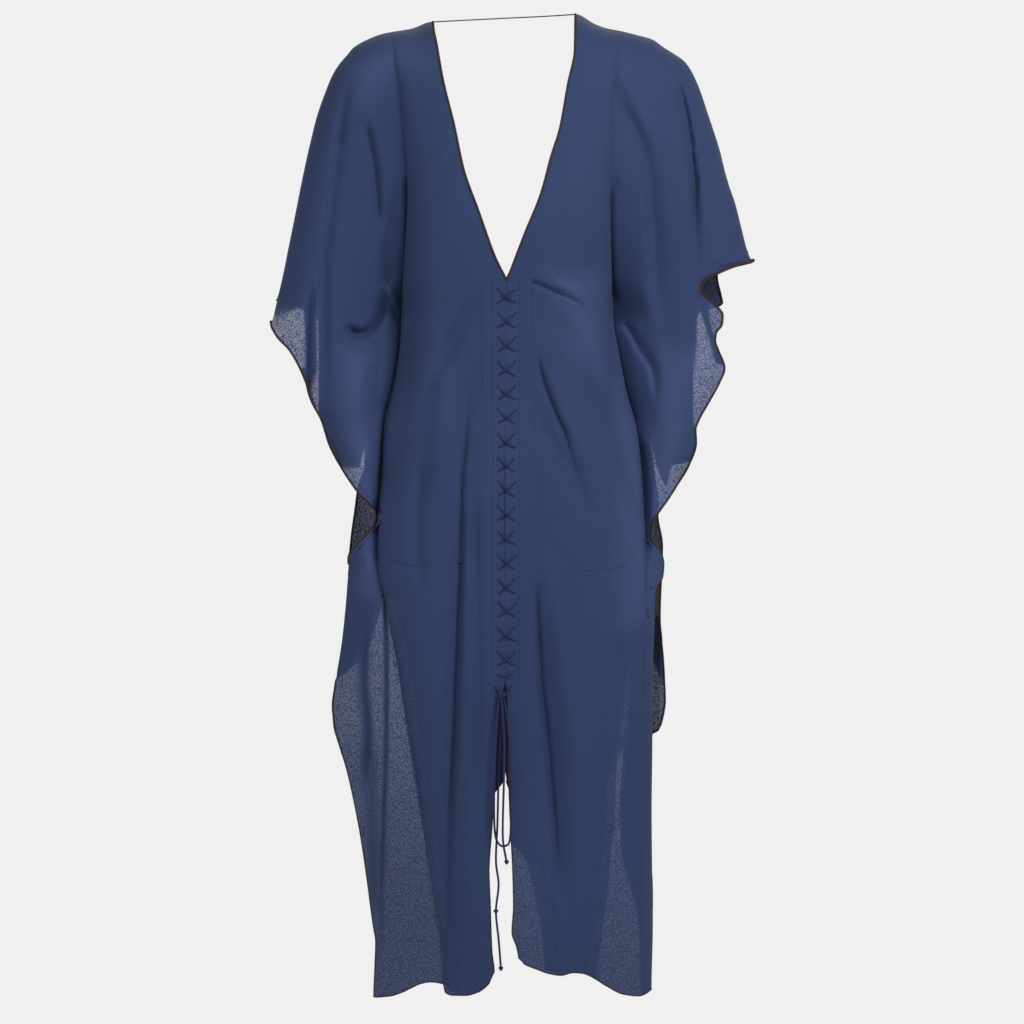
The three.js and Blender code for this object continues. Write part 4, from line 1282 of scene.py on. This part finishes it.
@dataclass
class Edging:
    """Dark rolled edging: thread wound closely over a free edge.

    Attributes:
        sheet: The sheet that it finishes.
        bold: Share of the radius on the top of the cuff.
        radius: Radius of the winding on the neck and the cuff.
        thin: Share of that radius on the slit and the hem.
        pitch: Distance between its bumps.
        steps: Points in each of those distances.
    """

    sheet: Sheet
    bold: float = 1.0
    radius: float = 1.6
    thin: float = 0.66
    pitch: float = 2.3
    steps: int = 4

    def wound(self, builder: Builder, edge: np.ndarray, outward: np.ndarray, radius: np.ndarray) -> None:
        """Wind thread over one stretch of edge.

        Args:
            builder: Collects the mesh.
            edge: The edge's points.
            outward: For each point, the way out of the cloth.
            radius: For each point, the winding's radius.
        """
        outward = outward / np.linalg.norm(outward, axis=1)[:, None]
        packed = even_steps(np.column_stack([edge, outward, radius]), self.pitch / self.steps)
        edge, outward, radius = packed[:, :3], packed[:, 3:6], packed[:, 6]
        bump = np.abs(np.sin(math.pi * np.arange(len(edge)) / self.steps))
        middle = edge + outward * (radius * (0.1 + 0.3 * bump))[:, None]
        builder.tube(middle, radius * (0.78 + 0.3 * bump), 6)

    def build(self, material: bpy.types.Material) -> bpy.types.Object:
        """Make the edging round all of the sheet's free edges."""
        points = self.sheet.points + self.sheet.normals * WALL_MIDDLE
        builder = Builder()
        inner, next_inner = points[0], points[1]
        down = self.sheet.down[0]
        neck = down <= NECK_ENDS[self.sheet.facing]
        slit = down >= SLIT_STARTS[self.sheet.facing]
        full = np.full(len(down), self.radius)
        self.wound(builder, inner[neck], (inner - next_inner)[neck], full[neck])
        edge = np.vstack([inner[slit], points[1:-1, -1], points[-1, ::-1]])
        outward = np.vstack([
            (inner - next_inner)[slit],
            (points[:, -1] - points[:, -2])[1:-1],
            (points[-1] - points[-2])[::-1],
        ])
        low = np.full(slit.sum() + len(points) - 2, self.thin)
        shares = ((345, self.bold), (360, 1.0), (720, 1.0), (940, 0.95), (1000, self.thin))
        high = np.interp(self.sheet.down[-1][::-1], *zip(*shares))
        self.wound(builder, edge, outward, self.radius * np.concatenate([low, high]))
        made = builder.piece(f"edging_{self.sheet.name}")
        dress(made, material, "edging")
        return made


@dataclass
class Stitching:
    """Rows of small stitches on a front: pockets, bands and waist seams.

    Attributes:
        sheet: The front that they are sewn on.
        rows: The (down, out) lines that they follow.
        length: Length of a stitch.
        pitch: Distance from one stitch to the next.
        radius: Radius of the thread.
    """

    sheet: Sheet
    rows: tuple
    length: float = 2.4
    pitch: float = 3.1
    radius: float = 0.24

    def build(self, material: bpy.types.Material) -> None:
        """Make every stitch as a short thread that dips into the cloth at its ends."""
        builder = Builder()
        shape = np.linspace(-0.5, 0.5, 4)
        dip = np.array([-0.12, 0.3, 0.3, -0.12]) + CLOTH / 2
        for row in self.rows:
            line = even_steps(through(row, 12), self.pitch)
            way = np.gradient(line, axis=0)
            way /= np.linalg.norm(way, axis=1)[:, None]
            places = line[:, None] + way[:, None] * (shape * self.length)[:, None]
            for stitch in self.sheet.on_cloth(places[..., 1], places[..., 0], dip):
                builder.tube(stitch, self.radius, 4)
        dress(builder.piece(f"stitching_{self.sheet.side.name.lower()}"), material, "crepe")


# --------------------------------------------------------------------------- lacing and its ends
# The half stitch under the last cross, and the two ends that run into the knot, with their sags.
LAST_STRANDS = (
    ((-11.7, 865.5), (9.0, 864.5), 3.0),
    ((-13.6, 881.0), (-7.5, 889.5), 0.5),
    ((8.2, 881.0), (-1.5, 890.0), 0.5),
)


@dataclass
class Lacing:
    """The crossed stitches of cord over the two bands, each with four eyelets.

    Attributes:
        left: The front on the left.
        right: The front on the right.
        count: How many crosses there are.
        first: How far down the first one is.
        pitch: Distance from one to the next.
        half_width: Half the width of a cross.
        half_height: Half its height.
        radius: Radius of the cord.
        middle: How far to the right of the middle line it runs.
        eyelet: Radius of an eyelet's ring, and of its thread.
        uneven: How far an end may lie from its place.
        sunk: How far the cord's ends lie under the band.
        rise: How far the cord's lower side stands above that between its ends.
    """

    left: Sheet
    right: Sheet
    count: int = 16
    first: float = 368.0
    pitch: float = 31.8
    half_width: float = 10.5
    half_height: float = 8.6
    radius: float = 1.15
    middle: float = 1.6
    eyelet: tuple = (1.6, 0.6)
    uneven: float = 0.9
    sunk: float = -1.0
    rise: float = 1.2

    def on_bands(self, x: np.ndarray, down: np.ndarray, lift: np.ndarray) -> np.ndarray:
        """Points on the two bands, moved out from their tops."""
        lift = lift + BAND_LIFT + CLOTH / 2
        left = self.left.on_cloth(np.abs(x), down, lift)
        right = self.right.on_cloth(np.abs(x), down, lift)
        blend = smoothstep((x + 1.5) / 3)[..., None]
        mixed = left * (1 - blend) + right * blend
        mixed[..., 0] = x
        return mixed

    def strand(self, builder: Builder, start: tuple, end: tuple, over: float, sag: float) -> None:
        """One cord between two places.

        Args:
            builder: Collects the mesh.
            start: Where it starts, as (x, down).
            end: Where it ends.
            over: How much higher it runs where it passes over another.
            sag: How far its middle hangs down.
        """
        t = np.linspace(0, 1, 15)
        x = start[0] + (end[0] - start[0]) * t
        down = start[1] + (end[1] - start[1]) * t + sag * np.sin(math.pi * t)
        arch = np.sin(math.pi * t) ** 0.45
        crossing = np.exp(-(((t - 0.5) / 0.16) ** 2))
        lift = self.sunk + (self.rise + self.radius) * arch + over * crossing
        builder.tube(self.on_bands(x, down, lift), self.radius, 8)

    def eyelets(self, builder: Builder, places: list) -> None:
        """Small worked rings where the cord goes through the bands, at (x, down) places."""
        select_only(None)
        ring, thread = self.eyelet
        bpy.ops.mesh.primitive_torus_add(
            major_radius=ring * MM, minor_radius=thread * MM, major_segments=14, minor_segments=6,
        )
        pattern = bpy.context.object
        frames = []
        for x, down in places:
            ahead = (np.array([x, x + 0.5, x]), np.array([down, down, down + 0.5]))
            here, beside, below = self.on_bands(*ahead, np.zeros(3))
            across, along = beside - here, below - here
            across /= np.linalg.norm(across)
            out = np.cross(across, along)
            out /= -np.linalg.norm(out)
            frames.append((here + out * 0.1, across, np.cross(out, across), out))
        builder.take(pattern, frames)

    def build(self, material: bpy.types.Material) -> None:
        """Make every cross, each a little uneven."""
        draw = np.random.default_rng(11)
        for k in range(self.count):
            down = self.first + self.pitch * k
            w, h = self.half_width, self.half_height
            jitter = draw.uniform(-self.uneven, self.uneven, (4, 2))
            ends = np.array([[-w, -h], [w, h], [w, -h], [-w, h]]) + jitter + [self.middle, down]
            builder = Builder()
            under, above = (ends[:2], ends[2:]) if k % 2 else (ends[2:], ends[:2])
            self.strand(builder, *under, over=0.0, sag=1.2)
            self.strand(builder, *above, over=1.5, sag=1.4)
            self.eyelets(builder, ends.tolist())
            if k == self.count - 1:
                for start, end, sag in LAST_STRANDS:
                    self.strand(builder, start, end, 0.0, sag)
            made = builder.piece(f"lacing_{k + 1}")
            dress(made, material, "lace", f"lace_cross_{k + 1}")


@dataclass
class LaceEnds:
    """What hangs from the knot at the top of the slit, and the string across the neck.

    Attributes:
        diameter: Diameter of the lace.
        string: Diameter of the neck string.
        big: Size of the knot that all of the lace hangs from.
        small: Size of the knots on the two tails.
        knot: Middle of the big knot.
        loop: Route of the loop, from the knot and back into it.
        long_tail: Route of the long end.
        short_tail: Route of the short end.
        neck_string: Route of the string.
    """

    diameter: float = 3.0
    string: float = 1.6
    big: float = 5.0
    small: float = 2.6
    knot: tuple = (-5.0, -118.0, -893.0)
    loop: tuple = (
        (-8.5, -118.5, -898), (-11.5, -120, -930), (-14, -121, -985), (-15, -121, -1040),
        (-13.5, -120, -1076), (-8, -120, -1089), (-1, -121, -1091), (5.5, -121, -1084),
        (7.5, -121, -1050), (7, -121, -1000), (5, -120, -950), (-1.5, -118.5, -898),
    )
    long_tail: tuple = (
        (-5, -116.4, -898.5), (-6, -116, -940), (-9, -116, -1000), (-10.5, -116, -1060),
        (-12.5, -115.5, -1110), (-9, -115, -1142), (-12.5, -115, -1177), (-9, -115, -1214),
        (-6, -114.5, -1252),
    )
    short_tail: tuple = (
        (-5, -120.8, -898.5), (-2, -123.5, -940), (-2, -125, -1000), (-3.5, -125, -1060),
        (-3, -125, -1086), (1.5, -124, -1112),
    )
    neck_string: tuple = (
        (-96.2, 2.4, -3), (-60, 5, -1), (-10, 7, 1.6), (50, 5, 4.4), (92.7, 2.4, 7),
    )

    def cord(self, name: str, route: tuple, diameter: float, material: bpy.types.Material, slot: str) -> bpy.types.Object:
        """Args:
            name: The solid that it stands for.
            route: Given points of its middle line.
            diameter: Its diameter.
            material: Its material.
            slot: Its slot in the record.

        Returns:
            The piece.
        """
        path = even_steps(through(route, 16), 2.5)
        builder = Builder()
        builder.tube(path, diameter / 2, 10)
        made = builder.piece(name + "_cord")
        dress(made, material, slot, name)
        return made

    def tie(self, name: str, place: tuple, size: float, lace: bpy.types.Material,
            *nodes: str) -> bpy.types.Object:
        """Make an overhand knot: one cord wound twice round itself.

        Args:
            name: The piece's name.
            place: Its middle.
            size: About its radius.
            lace: Its material.
            nodes: The solids that it stands for.

        Returns:
            The piece.
        """
        turns = np.linspace(0, 2 * math.pi, 60)
        ring = np.column_stack([
            np.sin(turns) + 2 * np.sin(2 * turns),
            -np.sin(3 * turns),
            np.cos(turns) - 2 * np.cos(2 * turns),
        ])
        builder = Builder()
        builder.tube(ring * (size / 3.4) + place, size * 0.42, 8)
        made = builder.piece(name)
        dress(made, lace, "lace", *nodes)
        return made

    def build(self, lace: bpy.types.Material, edge: bpy.types.Material) -> None:
        """Make the four cords and their knots."""
        self.tie("lace_knot_cord", self.knot, self.big, lace, "lace_knot")
        long_end = self.tie("long_end_knot", self.long_tail[-1], self.small, lace)
        middle = self.tie("long_middle_knot", self.long_tail[-3], self.small, lace)
        short_end = self.tie("short_end_knot", self.short_tail[-1], self.small, lace)
        for name, route, far_end, knots in (
            ("lace_loop", self.loop, "object", ()),
            ("lace_tail_long", self.long_tail, "knot", (long_end, middle)),
            ("lace_tail_short", self.short_tail, "knot", (short_end,)),
        ):
            self.cord(name, route, self.diameter, lace, "lace")
        self.cord("neck_string", self.neck_string, self.string, edge, "edging")


# ---------------------------------------------------------------------------------- the dress
LEFT_POCKET = (
    (505, 30), (512, 40), (530, 43), (620, 44), (700, 45), (715, 52), (722, 72), (724, 100),
    (718, 139), (696, 159),
)
RIGHT_POCKET = (
    (579, 76), (579, 50), (584, 44), (640, 44), (676, 46), (696, 63), (726, 94), (729, 127),
    (722, 150), (700, 170),
)


# Beside the bands, in from the neck, and the waist seam.
LEFT_ROWS = (
    ((352, 15.2), (600, 15.2), (868, 15.2)), ((352, 30), (500, 30)), ((396, 134), (445, 136), (498, 138)),
)
RIGHT_ROWS = (
    ((352, 18.5), (600, 18.5), (868, 18.5)), ((352, 36), (560, 38)), ((396, 146), (445, 149), (508, 150)),
)
TWIN_ROW = 6.0
BOLD_CUFF = 1.5


def moved(line: tuple, by: float) -> tuple:
    """The same line, moved out."""
    return tuple((down, out + by) for down, out in line)


def plan_sheets() -> list[Sheet]:
    """Work out the four sheets of the dress: front left, front right, back left and back right."""
    left = {"side": Side.LEFT, "shoulder": LEFT_SHOULDER, "side_line": LEFT_SIDE, "reach": LEFT_REACH}
    right = {
        "side": Side.RIGHT, "shoulder": RIGHT_SHOULDER, "side_line": RIGHT_SIDE, "reach": RIGHT_REACH,
    }
    front = {"facing": Facing.FRONT, "depth": FRONT_DEPTH, "gaps": FRONT_GAPS}
    back = {
        "facing": Facing.BACK, "depth": BACK_DEPTH, "gaps": BACK_GAPS, "spans": (3, 44, 28, 12),
        "rows": 200,
    }
    return [
        Sheet(
            "front_left", inner=FRONT_LEFT_INNER, outer=FRONT_LEFT_OUTER, hem=FRONT_LEFT_HEM,
            folds=FRONT_LEFT_FOLDS, sheer=FRONT_LEFT_SHEER, pale=FRONT_LEFT_PAINTED_LIGHT, seed=3,
            flat=(0.40, 1.36, 0.36), **left, **front,
        ),
        Sheet(
            "front_right", inner=FRONT_RIGHT_INNER, outer=FRONT_RIGHT_OUTER, hem=FRONT_RIGHT_HEM,
            folds=FRONT_RIGHT_FOLDS, sheer=FRONT_RIGHT_SHEER, pale=FRONT_RIGHT_PAINTED_LIGHT, seed=5,
            flat=(0.40, 1.36, 0.37), **right, **front,
        ),
        Sheet(
            "back_left", inner=BACK_LEFT_INNER, outer=BACK_LEFT_OUTER, hem=BACK_LEFT_HEM,
            folds=BACK_LEFT_FOLDS, sheer=BACK_LEFT_SHEER, pale=BACK_LEFT_PAINTED_LIGHT, seed=8,
            flat=(0.40, 1.36, 0.31), **left, **back,
        ),
        Sheet(
            "back_right", inner=BACK_RIGHT_INNER, outer=BACK_RIGHT_OUTER, hem=BACK_RIGHT_HEM,
            folds=BACK_RIGHT_FOLDS, sheer=BACK_RIGHT_SHEER, pale=BACK_RIGHT_PAINTED_LIGHT, seed=13,
            flat=(0.40, 1.36, 0.31), **right, **back,
        ),
    ]


def main() -> None:
    """Build the studio, the cords and then the cloth."""
    logging.basicConfig(level=logging.INFO, format="%(message)s")
    studio = Studio()
    studio.camera()
    studio.light()
    studio.floor()
    crepe = Crepe().material()
    lace = Thread("lace_cord", (0.008, 0.008, 0.034), (0.027, 0.026, 0.105), turns=420).material()
    brown = Thread("edging_thread", (0.009, 0.006, 0.008), (0.056, 0.026, 0.030), turns=430).material()
    navy = Thread("navy_thread", (0.025, 0.034, 0.08), (0.055, 0.075, 0.16), turns=1200).material()
    LaceEnds().build(lace, brown)
    sheets = plan_sheets()
    left, right = sheets[:2]
    for sheet in sheets:
        made = sheet.build(crepe)
        edging = Edging(sheet, bold=BOLD_CUFF if sheet is right else 1.0).build(brown)
    for sheet, outline in ((left, LEFT_POCKET), (right, RIGHT_POCKET)):
        Band(sheet).build(crepe)
        Pocket(sheet, outline).build(crepe)
    for sheet, outline, rows in ((left, LEFT_POCKET, LEFT_ROWS), (right, RIGHT_POCKET, RIGHT_ROWS)):
        Stitching(sheet, (outline, moved(outline, TWIN_ROW), *rows)).build(navy)
    Lacing(left, right).build(lace)


if __name__ == "__main__":
    main()
